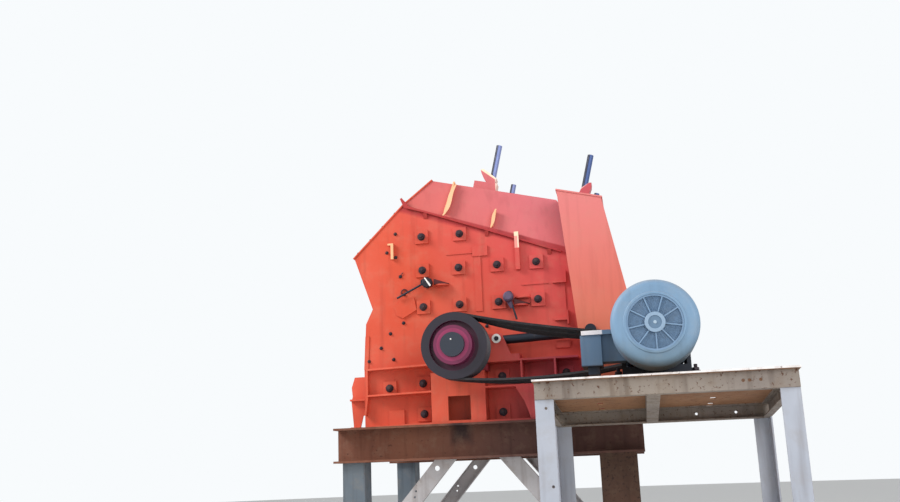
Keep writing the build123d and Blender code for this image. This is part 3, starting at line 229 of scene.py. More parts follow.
# %% Coat with its fading, drifts and marks
def coat_colour(tree, place, coat, faded, slopes, boxes):
    """Colour of the enamel itself, with faded patches, drifts along a direction, and marks in one place."""
    # fading in patches about 0.7 m across
    patches = add_node(tree, "ShaderNodeTexNoise", None, {"Vector": place, "Scale": 1.4, "Detail": 4.0})
    patch_share = add_node(
        tree, "ShaderNodeMapRange", None,
        {"Value": patches.outputs[0], "From Min": 0.38, "From Max": 0.66},
    )
    painted = add_node(
        tree, "ShaderNodeMix", {"data_type": "RGBA"},
        {0: patch_share.outputs[0], 6: srgb(coat), 7: srgb(faded)},
    ).outputs[2]
    for direction, start, end, colour, strength in slopes:
        share = slope_mask(tree, place, direction, start, end)
        part = add_node(tree, "ShaderNodeMath", {"operation": "MULTIPLY"}, {0: share, 1: strength})
        painted = add_node(
            tree, "ShaderNodeMix", {"data_type": "RGBA"},
            {0: part.outputs[0], 6: painted, 7: srgb(colour)},
        ).outputs[2]
    for low, high, fade, colour in boxes:
        painted = add_node(
            tree, "ShaderNodeMix", {"data_type": "RGBA"},
            {0: box_mask(tree, place, low, high, fade), 6: painted, 7: srgb(colour)},
        ).outputs[2]
    return painted


# %% Streaks, grime and dust
def weathered_colour(tree, place, normal, blotches, painted, dust, grime):
    """The coat's colour under rain streaks, blotches of grime, and dust on the faces that look up."""
    # rain streaks: noise drawn out along Z, about 60 mm wide
    drawn = add_node(tree, "ShaderNodeMapping", None, {"Vector": place, "Scale": (16.0, 16.0, 1.3)})
    streaks = add_node(
        tree, "ShaderNodeTexNoise", None, {"Vector": drawn.outputs[0], "Scale": 1.0, "Detail": 5.0},
    )
    streak_share = add_node(
        tree, "ShaderNodeMapRange", None,
        {"Value": streaks.outputs[0], "From Min": 0.52, "From Max": 0.78, "To Max": grime},
    )
    streaked = add_node(
        tree, "ShaderNodeMix", {"data_type": "RGBA", "blend_type": "MULTIPLY"},
        {0: streak_share.outputs[0], 6: painted, 7: srgb("#8A7060")},
    )
    blotch_share = add_node(
        tree, "ShaderNodeMapRange", None,
        {"Value": blotches, "From Min": 0.50, "From Max": 0.74, "To Max": grime * 0.8},
    )
    dirty = add_node(
        tree, "ShaderNodeMix", {"data_type": "RGBA"},
        {0: blotch_share.outputs[0], 6: streaked.outputs[2], 7: srgb(dust)},
    )
    facing = add_node(tree, "ShaderNodeSeparateXYZ", None, {"Vector": normal})
    ledge = add_node(
        tree, "ShaderNodeMapRange", None,
        {"Value": facing.outputs["Z"], "From Min": 0.35, "From Max": 0.95, "To Max": 0.75},
    )
    ledge_dust = add_node(
        tree, "ShaderNodeMath", {"operation": "MULTIPLY"}, {0: ledge.outputs[0], 1: blotches},
    )
    dusted = add_node(
        tree, "ShaderNodeMix", {"data_type": "RGBA"},
        {0: ledge_dust.outputs[0], 6: dirty.outputs[2], 7: srgb(dust)},
    )
    return dusted.outputs[2]


# %% Chips and rust
edge_width = 0.005


def rust_share(tree, place, normal, chips, rust_level):
    """Share of rust: flakes chipped off along the edges, and spots that have come through the coat."""
    # an edge is where the rounded normal leaves the true one
    rounded = add_node(tree, "ShaderNodeBevel", {"samples": 4}, {"Radius": edge_width})
    match = add_node(
        tree, "ShaderNodeVectorMath", {"operation": "DOT_PRODUCT"}, {0: rounded.outputs[0], 1: normal},
    )
    edge = add_node(
        tree, "ShaderNodeMapRange", None,
        {"Value": match.outputs["Value"], "From Min": 0.99, "From Max": 0.85, "To Max": chips},
    )
    # flakes about 30 mm across
    flakes = add_node(
        tree, "ShaderNodeTexNoise", None,
        {"Vector": place, "Scale": 34.0, "Detail": 6.0, "Roughness": 0.7},
    )
    flake_gate = add_node(
        tree, "ShaderNodeMapRange", None,
        {"Value": flakes.outputs[0], "From Min": 0.46, "From Max": 0.58},
    )
    chipped = add_node(
        tree, "ShaderNodeMath", {"operation": "MULTIPLY"},
        {0: edge.outputs[0], 1: flake_gate.outputs[0]},
    )
    spots = add_node(
        tree, "ShaderNodeMapRange", None,
        {"Value": flakes.outputs[0], "From Min": rust_level, "From Max": rust_level + 0.06},
    )
    rusty = add_node(
        tree, "ShaderNodeMath", {"operation": "MAXIMUM"},
        {0: chipped.outputs[0], 1: spots.outputs[0]},
    )
    return rusty.outputs[0]


print("paint chips off within", edge_width, "metres of an edge")


# %% Weathered enamel
def weathered_enamel(
    name, coat, faded, dust, rust, grime, chips, rust_level, gloss=0.42, slopes=(), boxes=()
):
    """Sprayed enamel on steel plate: patches of fading, streaks, dust on ledges, chipped edges.

    Slopes change the coat along a direction, and boxes change it in one place.
    """
    material, tree = blank_material(name)
    place = add_node(tree, "ShaderNodeTexCoord").outputs["Object"]
    normal = add_node(tree, "ShaderNodeNewGeometry").outputs["Normal"]
    # grime sits in blotches about 120 mm across, and the coat is duller there
    blotches = add_node(
        tree, "ShaderNodeTexNoise", None,
        {"Vector": place, "Scale": 8.0, "Detail": 8.0, "Roughness": 0.65},
    ).outputs[0]
    painted = coat_colour(tree, place, coat, faded, slopes, boxes)
    dusted = weathered_colour(tree, place, normal, blotches, painted, dust, grime)
    rusty = rust_share(tree, place, normal, chips, rust_level)
    colour = add_node(tree, "ShaderNodeMix", {"data_type": "RGBA"}, {0: rusty, 6: dusted, 7: srgb(rust)})
    roughness = add_node(
        tree, "ShaderNodeMapRange", None,
        {"Value": blotches, "From Min": 0.3, "From Max": 0.7, "To Min": gloss, "To Max": gloss + 0.25},
    )
    # orange peel of the sprayed coat, about 8 mm, and the pits of the rust
    peel = add_node(tree, "ShaderNodeTexNoise", None, {"Vector": place, "Scale": 120.0, "Detail": 2.0})
    peel_bump = add_node(
        tree, "ShaderNodeBump", None,
        {"Strength": 0.12, "Distance": 0.002, "Height": peel.outputs[0]},
    )
    pit_bump = add_node(
        tree, "ShaderNodeBump", {"invert": True},
        {"Strength": 0.4, "Distance": 0.002, "Height": rusty, "Normal": peel_bump.outputs[0]},
    )
    shader = add_node(
        tree, "ShaderNodeBsdfPrincipled", None,
        {
            "Base Color": colour.outputs[2],
            "Roughness": roughness.outputs[0],
            "Normal": pit_bump.outputs[0],
            "Specular IOR Level": 0.35,
        },
    )
    add_node(tree, "ShaderNodeOutputMaterial", None, {"Surface": shader.outputs[0]})
    return material


# %% [markdown]
# ## Enamels of the machine
# The housing is orange-red and its hood has faded to salmon, the base frame stands in brown primer, and the
# motor is blue-grey. Each call below names the coat, its faded colour, the dust and the rust, then how much
# grime and how many chips there are, the level at which rust comes through, and sometimes the roughness.
# What is different in one place could be painted on a map, but a drift or a mark needs only a few numbers. A
# drift is a direction, the two distances between which it comes in, a colour and a strength. A mark is a
# box, the share of it that fades, and a colour.

# %% Enamels of the side plates
# painted shade: the coat turns from orange to crimson towards the top of the motor side, where the plates
# lie in shade, and a painted shadow lies as a dark red band under the lip of the roof
lip_normal = (0.3287, 0.0, 0.9444)
lip_level = 3.978
crimson_shade_drift = ((0.8, 0.0, 0.6), 2.5, 3.6, "#CC4850", 0.80)
lip_shadow_band = (lip_normal, lip_level - 0.085, lip_level - 0.055, "#A0262C", 0.8)
side_coat = ("#CC4A2E", "#D65A42", "#B98A70", "#7A2E1E", 0.24, 0.35, 0.74)
# painted sunlight: the stop lug and the head and right edge of the stay are cream where the sun strikes them,
# and the stay's front face is painted pink for the weaker light on it
stop_lug_sunlight = ((0.290, -0.5, 3.520), (0.370, 0.098, 3.70), 0.05, "#F4B486")
stay_head_sunlight = ((1.490, -0.5, 3.655), (1.534, 0.070, 3.73), 0.02, "#FFDFBE")
stay_face_light = ((1.490, -0.5, 3.545), (1.519, 0.070, 3.75), 0.02, "#E8988C")
stay_edge_sunlight = ((1.519, -0.5, 3.545), (1.534, 0.070, 3.75), 0.02, "#FFD8C0")
side_enamel = weathered_enamel(
    "orange_red_enamel_on_sides", *side_coat,
    slopes=[crimson_shade_drift, lip_shadow_band], boxes=[stop_lug_sunlight, stay_face_light, stay_edge_sunlight, stay_head_sunlight],
)
# painted shade: the lower housing turns wine red towards the motor, where it lies in shade under the belts
wine_shade_drift = ((1.0, 0.0, 0.0), 1.0, 1.9, "#BC4258", 0.85)
housing_enamel = weathered_enamel("orange_red_enamel", *side_coat, slopes=[wine_shade_drift])
print("side plates:", side_enamel.name, "and", housing_enamel.name)

# %% Enamels of the hood, the roof and the rear housing
# painted sunlight: what stands proud of the hood plate is painted cream where the sun strikes it, and the
# hood turns pink towards the top of the motor side as painted shade
hood_normal = (0.12337, -0.93891, 0.32128)
hood_level = 1.26392
hood_coat = ("#BE5146", "#CA6256", "#C09484", "#8A3A28", 0.16, 0.3, 0.76)
pink_shade_drift = ((0.8, 0.0, 0.6), 2.6, 3.9, "#D2727A", 0.9)
rib_sunlight = (hood_normal, hood_level + 0.006, hood_level + 0.010, "#F0B284", 1.0)
lip_shade = (lip_normal, lip_level + 0.004, lip_level - 0.008, "#A0262C", 0.8)
hood_enamel = weathered_enamel(
    "salmon_enamel_on_hood", *hood_coat, slopes=[pink_shade_drift, lip_shade, rib_sunlight],
)
far_hood_enamel = weathered_enamel("salmon_enamel_on_roof", *hood_coat, slopes=[pink_shade_drift])
rear_drift = ((0.0, 0.0, 1.0), 2.7, 3.9, "#DA7A78", 0.95)
rear_enamel = weathered_enamel(
    "salmon_red_enamel", "#D8694E", "#DC7A5E", "#C0907A", "#8A3A28", 0.18, 0.3, 0.76, slopes=[rear_drift],
)

# painted highlights: the slanting seats of the rods are lit pale along their upper edge and end
front_seat_highlight = ((0.6322, 0.0, 0.7748), 4.150, 4.156, "#FFE3C4", 1.0)
front_seat_end_highlight = ((1.0, 0.0, 0.0), 1.305, 1.312, "#F6D8C8", 1.0)
front_bracket_enamel = weathered_enamel(
    "salmon_enamel_on_front_brackets", *hood_coat, slopes=[pink_shade_drift, front_seat_highlight, front_seat_end_highlight],
)
rear_seat_highlight = ((-0.5663, 0.0, 0.8242), 2.175, 2.181, "#F2B6B2", 1.0)
rear_bracket_enamel = weathered_enamel(
    "salmon_enamel_on_rear_brackets", "#C05058", "#CC6068", "#C09484", "#8A3A28", 0.16, 0.3, 0.76,
    slopes=[rear_seat_highlight],
)
print("hood, roof and rear:", hood_enamel.name, far_hood_enamel.name, rear_enamel.name)

# %% Primers and enamels of the base frame and the platform
# an oil stain runs down the beam under the big pulley, and the beam is sootier towards the motor
beam_stain = ((0.83, -0.5, 1.80), (1.07, 0.5, 2.10), 0.7, "#33201F")
beam_soot = ((1.0, 0.0, 0.0), 0.5, 1.4, "#503733", 0.8)
beam_primer = weathered_enamel(
    "brown_primer_on_beams", "#6C3F2E", "#7A4C38", "#8A7262", "#44261A", 0.5, 0.6, 0.62, 0.6,
    slopes=[beam_soot], boxes=[beam_stain],
)
frame_primer = weathered_enamel(
    "brown_primer", "#5C4236", "#6C5040", "#84705F", "#3E2418", 0.6, 0.6, 0.60, 0.6,
)
rusty_column = weathered_enamel(
    "rusted_column_primer", "#463228", "#53392C", "#6A5A4C", "#32201A", 0.6, 0.6, 0.56, 0.65,
)
column_enamel = weathered_enamel(
    "grey_blue_enamel", "#56626E", "#6A7278", "#8A8074", "#5A3A28", 0.5, 0.6, 0.66, 0.5,
)
brace_enamel = weathered_enamel(
    "grey_white_enamel", "#A9A6A8", "#BDB9B9", "#94816F", "#6B4A38", 0.5, 0.7, 0.64, 0.5,
)
leg_enamel = weathered_enamel(
    "pale_blue_white_enamel", "#A6ABB6", "#B4B8C2", "#9A9088", "#6B4A38", 0.35, 0.7, 0.68, 0.5,
)
fascia_enamel = weathered_enamel(
    "stained_grey_enamel", "#857B74", "#94897E", "#7A6552", "#5A3A28", 0.6, 0.7, 0.58, 0.55,
)
# painted highlight: the near top edge of the platform plate is pale where the light catches it
platform_edge_highlight = ((1.7, -1.9, 2.1), (3.6, -1.822, 2.3), 0.02, "#EDE8E6")
platform_sheet = weathered_enamel(
    "rusty_brown_sheet", "#8E6548", "#A07656", "#A08C78", "#5E3C28", 0.5, 0.5, 0.60, 0.65, boxes=[platform_edge_highlight],
)
print("frame and platform:", beam_primer.name, leg_enamel.name, fascia_enamel.name, platform_sheet.name)

# %% Enamels of the motor and the small fittings
# painted shade: the motor turns darker towards its underside
motor_underside_shade = ((0.0, 0.0, -1.0), -2.45, -2.24, "#50605F", 0.6)
motor_enamel = weathered_enamel(
    "blue_grey_motor_enamel", "#7493B0", "#809FBA", "#A39C92", "#5A5048", 0.2, 0.25, 0.80, 0.35,
    slopes=[motor_underside_shade],
)
guard_enamel = weathered_enamel(
    "dark_blue_grey_enamel", "#5B7690", "#667F98", "#8F8A82", "#4A4440", 0.25, 0.25, 0.80, 0.4,
)
grille_enamel = weathered_enamel(
    "pale_blue_guard_enamel", "#7290AE", "#7E9AB6", "#8F9298", "#5A5450", 0.15, 0.2, 0.84, 0.4,
)
wire_enamel = weathered_enamel(
    "blue_grey_wire_enamel", "#6E8CAC", "#7896B4", "#8F9298", "#5A5450", 0.15, 0.1, 0.84, 0.45,
)
# the motor's feet and rails are near-black blue
foot_enamel = weathered_enamel(
    "sooty_blue_enamel", "#232934", "#2D3440", "#4A4640", "#2E2622", 0.4, 0.4, 0.72, 0.5,
)
# painted highlight: the lid of the junction box is near white where the light falls on its top
lid_highlight = ((2.0, -2.0, 2.523), (2.26, 0.0, 2.6), 0.05, "#F4F0F2")
# the junction box turns near black below its neck
box_dark_bottom = ((0.0, 0.0, -1.0), -2.31, -2.30, "#161C2C", 0.9)
box_enamel = weathered_enamel(
    "blue_grey_box_enamel", "#5E7A96", "#69849E", "#8F8A82", "#4A4440", 0.25, 0.25, 0.80, 0.4,
    slopes=[box_dark_bottom], boxes=[lid_highlight],
)
bearing_enamel = weathered_enamel(
    "dark_red_enamel", "#8E2630", "#9E3038", "#7C5A50", "#4A201C", 0.4, 0.4, 0.70, 0.45,
)
# painted sunlight: cream for the caps on the hood's ribs, where the sun strikes them
sunlit_cream_enamel = weathered_enamel(
    "painted_sunlight_cream", "#F0B284", "#F4BE94", "#C8A080", "#8A4A30", 0.2, 0.3, 0.78,
)
# painted shade: near-black wine red for the pawls and the guide of the first lever, which lie in shade
shade_enamel = weathered_enamel("wine_red_painted_shade", "#4C0D12", "#581418", "#7C4A40", "#3A1210", 0.3, 0.3, 0.78)
# painted shade: deep red for the cleats under the roof's lip, which lie in its shadow
cleat_shade_enamel = weathered_enamel(
    "deep_red_cleat_shade", "#9C2A26", "#AC3630", "#8C5A4C", "#5A1E18", 0.3, 0.4, 0.74,
)
print("materials so far:", len(bpy.data.materials))

# %% [markdown]
# ## Bare and oiled metal
# Rods and bolts are turned or forged steel that has gone dark with oil and weather. It stays metallic, with
# a brown bloom of rust in the hollows. The rotor and the aprons are cast iron, dull and rough from the
# mould.

# %% Steel and iron recipe
def bare_metal(name, clean, bloom, bloom_level, roughness, metallic, grain_scale, inlet_side_shade=None):
    """Bare steel or cast iron with a bloom of rust, the grain of its making, and painted shade on the inlet
    side.
    """
    material, tree = blank_material(name)
    place = add_node(tree, "ShaderNodeTexCoord").outputs["Object"]
    # the bloom of rust lies in clouds about 70 mm across
    cloud = add_node(
        tree, "ShaderNodeTexNoise", None,
        {"Vector": place, "Scale": 14.0, "Detail": 7.0, "Roughness": 0.65},
    )
    amount = add_node(
        tree, "ShaderNodeMapRange", None,
        {"Value": cloud.outputs[0], "From Min": bloom_level, "From Max": bloom_level + 0.2, "To Max": 0.8},
    )
    colour = add_node(
        tree, "ShaderNodeMix", {"data_type": "RGBA"},
        {0: amount.outputs[0], 6: srgb(clean), 7: srgb(bloom)},
    )
    finish = colour.outputs[2]
    # painted shade: the side that faces the inlet, along -X, is darkened
    if inlet_side_shade:
        shape = add_node(tree, "ShaderNodeNewGeometry")
        inlet_shade_share = slope_mask(tree, shape.outputs["Normal"], (-1.0, 0.0, 0.0), 0.08, 0.18)
        finish = add_node(
            tree, "ShaderNodeMix", {"data_type": "RGBA"},
            {0: inlet_shade_share, 6: finish, 7: srgb(inlet_side_shade)},
        ).outputs[2]
    metal = add_node(
        tree, "ShaderNodeMapRange", None,
        {"Value": amount.outputs[0], "To Min": metallic, "To Max": 0.0},
    )
    dull = add_node(
        tree, "ShaderNodeMapRange", None,
        {
            "Value": cloud.outputs[0], "From Min": 0.3, "From Max": 0.7,
            "To Min": roughness, "To Max": roughness + 0.25,
        },
    )
    grain = add_node(tree, "ShaderNodeTexNoise", None, {"Vector": place, "Scale": grain_scale, "Detail": 3.0})
    bump = add_node(
        tree, "ShaderNodeBump", None,
        {"Strength": 0.25, "Distance": 0.002, "Height": grain.outputs[0]},
    )
    shader = add_node(
        tree, "ShaderNodeBsdfPrincipled", None,
        {
            "Base Color": finish,
            "Metallic": metal.outputs[0],
            "Roughness": dull.outputs[0],
            "Normal": bump.outputs[0],
        },
    )
    add_node(tree, "ShaderNodeOutputMaterial", None, {"Surface": shader.outputs[0]})
    return material


# %% Steels and irons of the machine
# each one: clean colour, bloom colour, level of the bloom, roughness, metallic share and scale of the grain
# the rods carry painted shade on their inlet side, and the rear rods are a darker, shaded copy of the front
# ones
rod_steel = bare_metal("blued_rod_steel", "#828FC0", "#6A7090", 0.62, 0.35, 0.35, 160.0, inlet_side_shade="#14172C")
shaded_rear_rod_steel = bare_metal(
    "shaded_blued_rod_steel", "#4A5F92", "#4A5070", 0.62, 0.35, 0.35, 160.0, inlet_side_shade="#14172C",
)
oiled_steel = bare_metal("black_oiled_steel", "#2A2E38", "#4A3A32", 0.56, 0.32, 0.7, 160.0)
turned_steel = bare_metal("turned_shaft_steel", "#8E9095", "#6A4E3C", 0.58, 0.28, 0.9, 220.0)
bolt_steel = bare_metal("weathered_bolt_steel", "#352B33", "#5A3A2C", 0.52, 0.42, 0.45, 180.0)
knob_iron = bare_metal("dark_knob_iron", "#241E28", "#3A2A2C", 0.58, 0.45, 0.3, 120.0)
# painted light: the second knob's iron is a lighter copy of the dark knob iron, for the light falling on it
lit_knob_iron = bare_metal("lit_knob_iron", "#5E5068", "#4A3C48", 0.56, 0.5, 0.3, 120.0)
# painted highlight: near-white steel for glints on the first knob, the anchor washers and the grease nipple
highlight_steel = bare_metal("painted_highlight_steel", "#F6F2EC", "#C8BCAA", 0.66, 0.35, 0.2, 180.0)
worn_iron = bare_metal("worn_cast_iron", "#5C5450", "#6E4A36", 0.48, 0.6, 0.35, 60.0)
print("materials so far:", len(bpy.data.materials))

# %% [markdown]
# ## Pulleys and belts
# The pulleys are turned cast iron. The rim is black with rubber dust, and the recess of the big one still
# has its magenta-red shop paint round a dark hub. The distance from the shaft decides which colour shows.

# %% Paint in rings round an axis
def ringed_paint(name, centre, bands, rim, rim_worn):
    """Paint on a cast wheel or hub: a rim colour, and rings that each end at an outer radius."""
    material, tree = blank_material(name)
    place = add_node(tree, "ShaderNodeTexCoord").outputs["Object"]
    centred = add_node(
        tree, "ShaderNodeMapping", None, {"Vector": place, "Location": (-centre[0], 0.0, -centre[1])},
    )
    flat = add_node(
        tree, "ShaderNodeVectorMath", {"operation": "MULTIPLY"},
        {0: centred.outputs[0], 1: (1.0, 0.0, 1.0)},
    )
    radius = add_node(tree, "ShaderNodeVectorMath", {"operation": "LENGTH"}, {0: flat.outputs[0]})
    cloud = add_node(tree, "ShaderNodeTexNoise", None, {"Vector": place, "Scale": 16.0, "Detail": 6.0})
    finish = add_node(
        tree, "ShaderNodeMix", {"data_type": "RGBA"},
        {0: cloud.outputs[0], 6: srgb(rim), 7: srgb(rim_worn)},
    ).outputs[2]
    for outer, coat, worn in bands:
        inside = add_node(
            tree, "ShaderNodeMapRange", None,
            {"Value": radius.outputs["Value"], "From Min": outer + 0.001, "From Max": outer - 0.001},
        )
        ring = add_node(
            tree, "ShaderNodeMix", {"data_type": "RGBA"},
            {0: cloud.outputs[0], 6: srgb(coat), 7: srgb(worn)},
        )
        finish = add_node(
            tree, "ShaderNodeMix", {"data_type": "RGBA"},
            {0: inside.outputs[0], 6: finish, 7: ring.outputs[2]},
        ).outputs[2]
    grain = add_node(tree, "ShaderNodeTexNoise", None, {"Vector": place, "Scale": 120.0, "Detail": 3.0})
    bump = add_node(
        tree, "ShaderNodeBump", None,
        {"Strength": 0.15, "Distance": 0.002, "Height": grain.outputs[0]},
    )
    shader = add_node(
        tree, "ShaderNodeBsdfPrincipled", None,
        {"Base Color": finish, "Roughness": 0.38, "Normal": bump.outputs[0]},
    )
    add_node(tree, "ShaderNodeOutputMaterial", None, {"Surface": shader.outputs[0]})
    return material


# %% Pulleys and guard hub
rotor_axis = rotor_x, rotor_z = (0.990, 2.632)
motor_axis = motor_x, motor_z = (2.627, 2.537)
# painted shade: the recess and the boss's rim are a darker magenta than the boss's face, as they lie in shade
recess_shade_band = (0.213, "#52163A", "#46122C")
boss_rim_shade_band = (0.170, "#6C2044", "#74264A")
boss_face_band = (0.138, "#98325C", "#8A2C54")
hub_band = (0.1045, "#262C38", "#2C313C")
pulley_bands = [recess_shade_band, boss_rim_shade_band, boss_face_band, hub_band]
big_pulley_iron = ringed_paint("painted_pulley_iron", rotor_axis, pulley_bands, "#1E1924", "#28222E")
small_pulley_iron = ringed_paint("black_pulley_iron", motor_axis, [], "#26222C", "#352F38")
cup_band = (0.0455, "#5C7690", "#64809A")
button_band = (0.012, "#A4B8C8", "#A4B8C8")
hub_enamel = ringed_paint("grille_hub_enamel", motor_axis, [cup_band, button_band], "#86A0B8", "#8EA6BE")
print("rings on the big pulley end at radii", [band[0] for band in pulley_bands])


# %% Belt rubber
def belt_rubber():
    """Black V-belt rubber, matt, with pale dust worked into it."""
    material, tree = blank_material("v_belt_rubber")
    place = add_node(tree, "ShaderNodeTexCoord").outputs["Object"]
    cloud = add_node(tree, "ShaderNodeTexNoise", None, {"Vector": place, "Scale": 22.0, "Detail": 6.0})
    dust = add_node(
        tree, "ShaderNodeMapRange", None,
        {"Value": cloud.outputs[0], "From Min": 0.5, "From Max": 0.8, "To Max": 0.5},
    )
    colour = add_node(
        tree, "ShaderNodeMix", {"data_type": "RGBA"},
        {0: dust.outputs[0], 6: srgb("#1B1A1F"), 7: srgb("#4A4240")},
    )
    # the fabric under the rubber, about 4 mm
    weave = add_node(tree, "ShaderNodeTexNoise", None, {"Vector": place, "Scale": 250.0, "Detail": 2.0})
    bump = add_node(
        tree, "ShaderNodeBump", None,
        {"Strength": 0.2, "Distance": 0.001, "Height": weave.outputs[0]},
    )
    shader = add_node(
        tree, "ShaderNodeBsdfPrincipled", None,
        {"Base Color": colour.outputs[2], "Roughness": 0.7, "Normal": bump.outputs[0]},
    )
    add_node(tree, "ShaderNodeOutputMaterial", None, {"Surface": shader.outputs[0]})
    return material


rubber = belt_rubber()
print("rubber:", rubber.name)

# %% [markdown]
# ## Finishes on the frame's pieces
# Each piece that came in with the frame keeps its shape and takes the finish of the real one. The pieces
# could be painted one by one, but a table with one line for each finish is shorter, and shows at a glance
# which pieces were sprayed alike.

# %% Finish of every piece
finishes = {
    side_enamel: ["upper_side_near", "upper_side_far"],
    housing_enamel: [
        "lower_side_near", "lower_side_far", "lower_front_wall", "lower_rear_wall", "bearing_pedestals",
        "upper_front_wall", "inlet_flange", "front_apron_hangers", "hinge_brackets", "lift_anchor_brackets",
    ],
    hood_enamel: ["hood_side_near"],
    far_hood_enamel: ["hood_side_far", "roof"],
    front_bracket_enamel: ["front_rod_brackets"],
    rear_bracket_enamel: ["rear_rod_brackets"],
    rear_enamel: [
        "rear_side_near", "rear_side_far", "rear_back_plate", "rear_top_plate", "rear_front_flanges",
    ],
    bearing_enamel: ["bearing_housings"],
    beam_primer: ["base_beam_near", "base_beam_far"],
    frame_primer: ["base_cross_beams"],
    rusty_column: ["rear_columns"],
    column_enamel: ["front_columns"],
    brace_enamel: ["knee_braces"],
    leg_enamel: ["platform_legs"],
    fascia_enamel: ["platform_beams", "platform_cross_members"],
    platform_sheet: ["platform_plate"],
    motor_enamel: ["motor_body", "fan_cowl"],
    foot_enamel: ["motor_feet", "motor_rails"],
    grille_enamel: ["fan_grille"],
    guard_enamel: ["motor_fan"],
    box_enamel: ["junction_box"],
    rod_steel: ["front_adjusting_rods"],
    shaded_rear_rod_steel: ["rear_adjusting_rods"],
    oiled_steel: ["hand_levers", "hinge_pins", "lift_boss_pins", "lift_barrels"],
    knob_iron: ["lift_rods", "lift_anchor_pins"],
    turned_steel: ["motor_shaft", "front_apron_shaft", "rear_apron_shaft"],
    worn_iron: ["rotor_discs", "blow_bars", "front_apron", "rear_apron"],
    big_pulley_iron: ["driven_pulley", "rotor_shaft"],
    small_pulley_iron: ["motor_pulley"],
    rubber: ["v_belts"],
}
for finish, names in finishes.items():
    for name in names:
        piece = bpy.data.objects[name]
        piece.data.materials.clear()
        piece.data.materials.append(finish)
print("pieces with a finish:", sum(len(names) for names in finishes.values()), "of", len(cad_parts))

# %% [markdown]
# ## Picking, dressing and copying
# A bolt, a nut or a knob starts from a primitive of its own size. Its edges and faces are picked by where
# they are, then bevelled, inset or moved as by hand. What repeats is shaped once and copied. The far side of
# the machine is the mirror image of the near one, so each near piece also gives the far one.

# %% Picking edges and faces
# a place that is off by less than this still counts as on the line or the face
hair = 1e-5


def select_only(*objects):
    """Makes these objects the only selected ones, and the first one active."""
    bpy.ops.object.select_all(action="DESELECT")
    for item in objects:
        item.select_set(True)
    bpy.context.view_layer.objects.active = objects[0]


def pick(piece, kind, test):
    """In edit mode, selects only the faces or edges whose every vertex passes a test on its place."""
    select_only(piece)
    bpy.ops.object.mode_set(mode="EDIT")
    bpy.context.tool_settings.mesh_select_mode = (False, kind == "EDGE", kind == "FACE")
    bpy.ops.mesh.select_all(action="DESELECT")
    shape = bmesh.from_edit_mesh(piece.data)
    for item in shape.edges if kind == "EDGE" else shape.faces:
        if all(test(corner.co) for corner in item.verts):
            item.select_set(True)
    bmesh.update_edit_mesh(piece.data)


def bevel_picked(width, segments=1):
    """Bevels the picked edges and goes back to object mode."""
    bpy.ops.mesh.bevel(offset=width, segments=segments, affect="EDGES")
    bpy.ops.object.mode_set(mode="OBJECT")


# %% Bars with bevelled rims
def solid_bar(start, end, radius, end_radius, edge, sides):
    """Round bar or cone between two places, with both of its rims bevelled."""
    line = Vector(end) - Vector(start)
    bpy.ops.object.select_all(action="DESELECT")
    bpy.ops.mesh.primitive_cone_add(
        vertices=sides, radius1=radius, radius2=end_radius, depth=line.length,
        location=(0, 0, line.length / 2),
    )
    piece = bpy.context.object
    bpy.ops.object.transform_apply(location=True)
    pick(piece, "EDGE", lambda v: v.z < hair)
    bevel_picked(edge)
    pick(piece, "EDGE", lambda v: v.z > line.length - hair)
    bevel_picked(edge)
    piece.data.transform(Matrix.Translation(start) @ line.to_track_quat("Z", "Y").to_matrix().to_4x4())
    return piece


# %% Joining and dressing
def join_all(parts):
    """Joins several objects into the first one."""
    select_only(*parts)
    bpy.ops.object.join()
    return bpy.context.object


def dress(piece, name, finish, body="frame"):
    """Names a finished piece, gives it its one finish and lets it ride its body."""
    piece.name = piece.data.name = name
    piece.data.materials.clear()
    piece.data.materials.append(finish)
    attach(piece, body)
    print(name, "has", len(piece.data.polygons), "faces")
    return piece


# %% Copies on the far side and in rows
side_middle = 0.950
far_plate = 2 * side_middle
wrench = random.Random(11)


def far_copy(piece, finish):
    """Mirror image of a near piece on the far side, with its faces turned the right way again."""
    copy = bpy.data.objects.new(piece.name, piece.data.copy())
    bpy.context.scene.collection.objects.link(copy)
    mirror = Matrix.Diagonal((1.0, -1.0, 1.0, 1.0))
    copy.data.transform(Matrix.Translation((0.0, far_plate, 0.0)) @ mirror)
    copy.data.flip_normals()
    return dress(copy, piece.name.replace("_near", "_far"), finish)


def stand_copies(name, master, places, outward, finish):
    """Copies a master to each place with its Z turned outward, and joins the copies.

    Each copy is turned as a fitter's wrench happened to leave it.
    """
    turn = Vector(outward).to_track_quat("Z", "Y").to_matrix().to_4x4()
    copies = []
    for place in places:
        copy = bpy.data.objects.new(name, master.data.copy())
        bpy.context.scene.collection.objects.link(copy)
        spin = Matrix.Rotation(wrench.uniform(0, math.pi), 4, "Z")
        copy.data.transform(Matrix.Translation(place) @ turn @ spin)
        copies.append(copy)
    return dress(join_all(copies), name, finish)


print("the far side mirrors the near one at", side_middle, "metres")

# %% [markdown]
# ## Bolts and nuts
# Each wear plate inside the housing hangs on a bolt whose nut sits on a square pad outside. A nut is a
# hexagon with its corners turned off, on a round washer, with the end of the bolt standing through it. Three
# primitives are bevelled and joined for each size of fastener, and the joined master is copied to every
# place.

# %% Masters of the fasteners
def fastener(washer, hexagon, bolt_end):
    """Washer, hexagon and bolt end on top of each other along Z, each as a radius and a height."""
    parts = []
    level = 0.0
    # number of sides, radius and height, width of the bevel
    layers = ((20, washer, 0.0012), (6, hexagon, 0.003), (12, bolt_end, 0.003))
    for sides, (radius, height), edge in layers:
        parts.append(solid_bar((0, 0, level), (0, 0, level + height), radius, radius, edge, sides))
        level += height
    return join_all(parts)


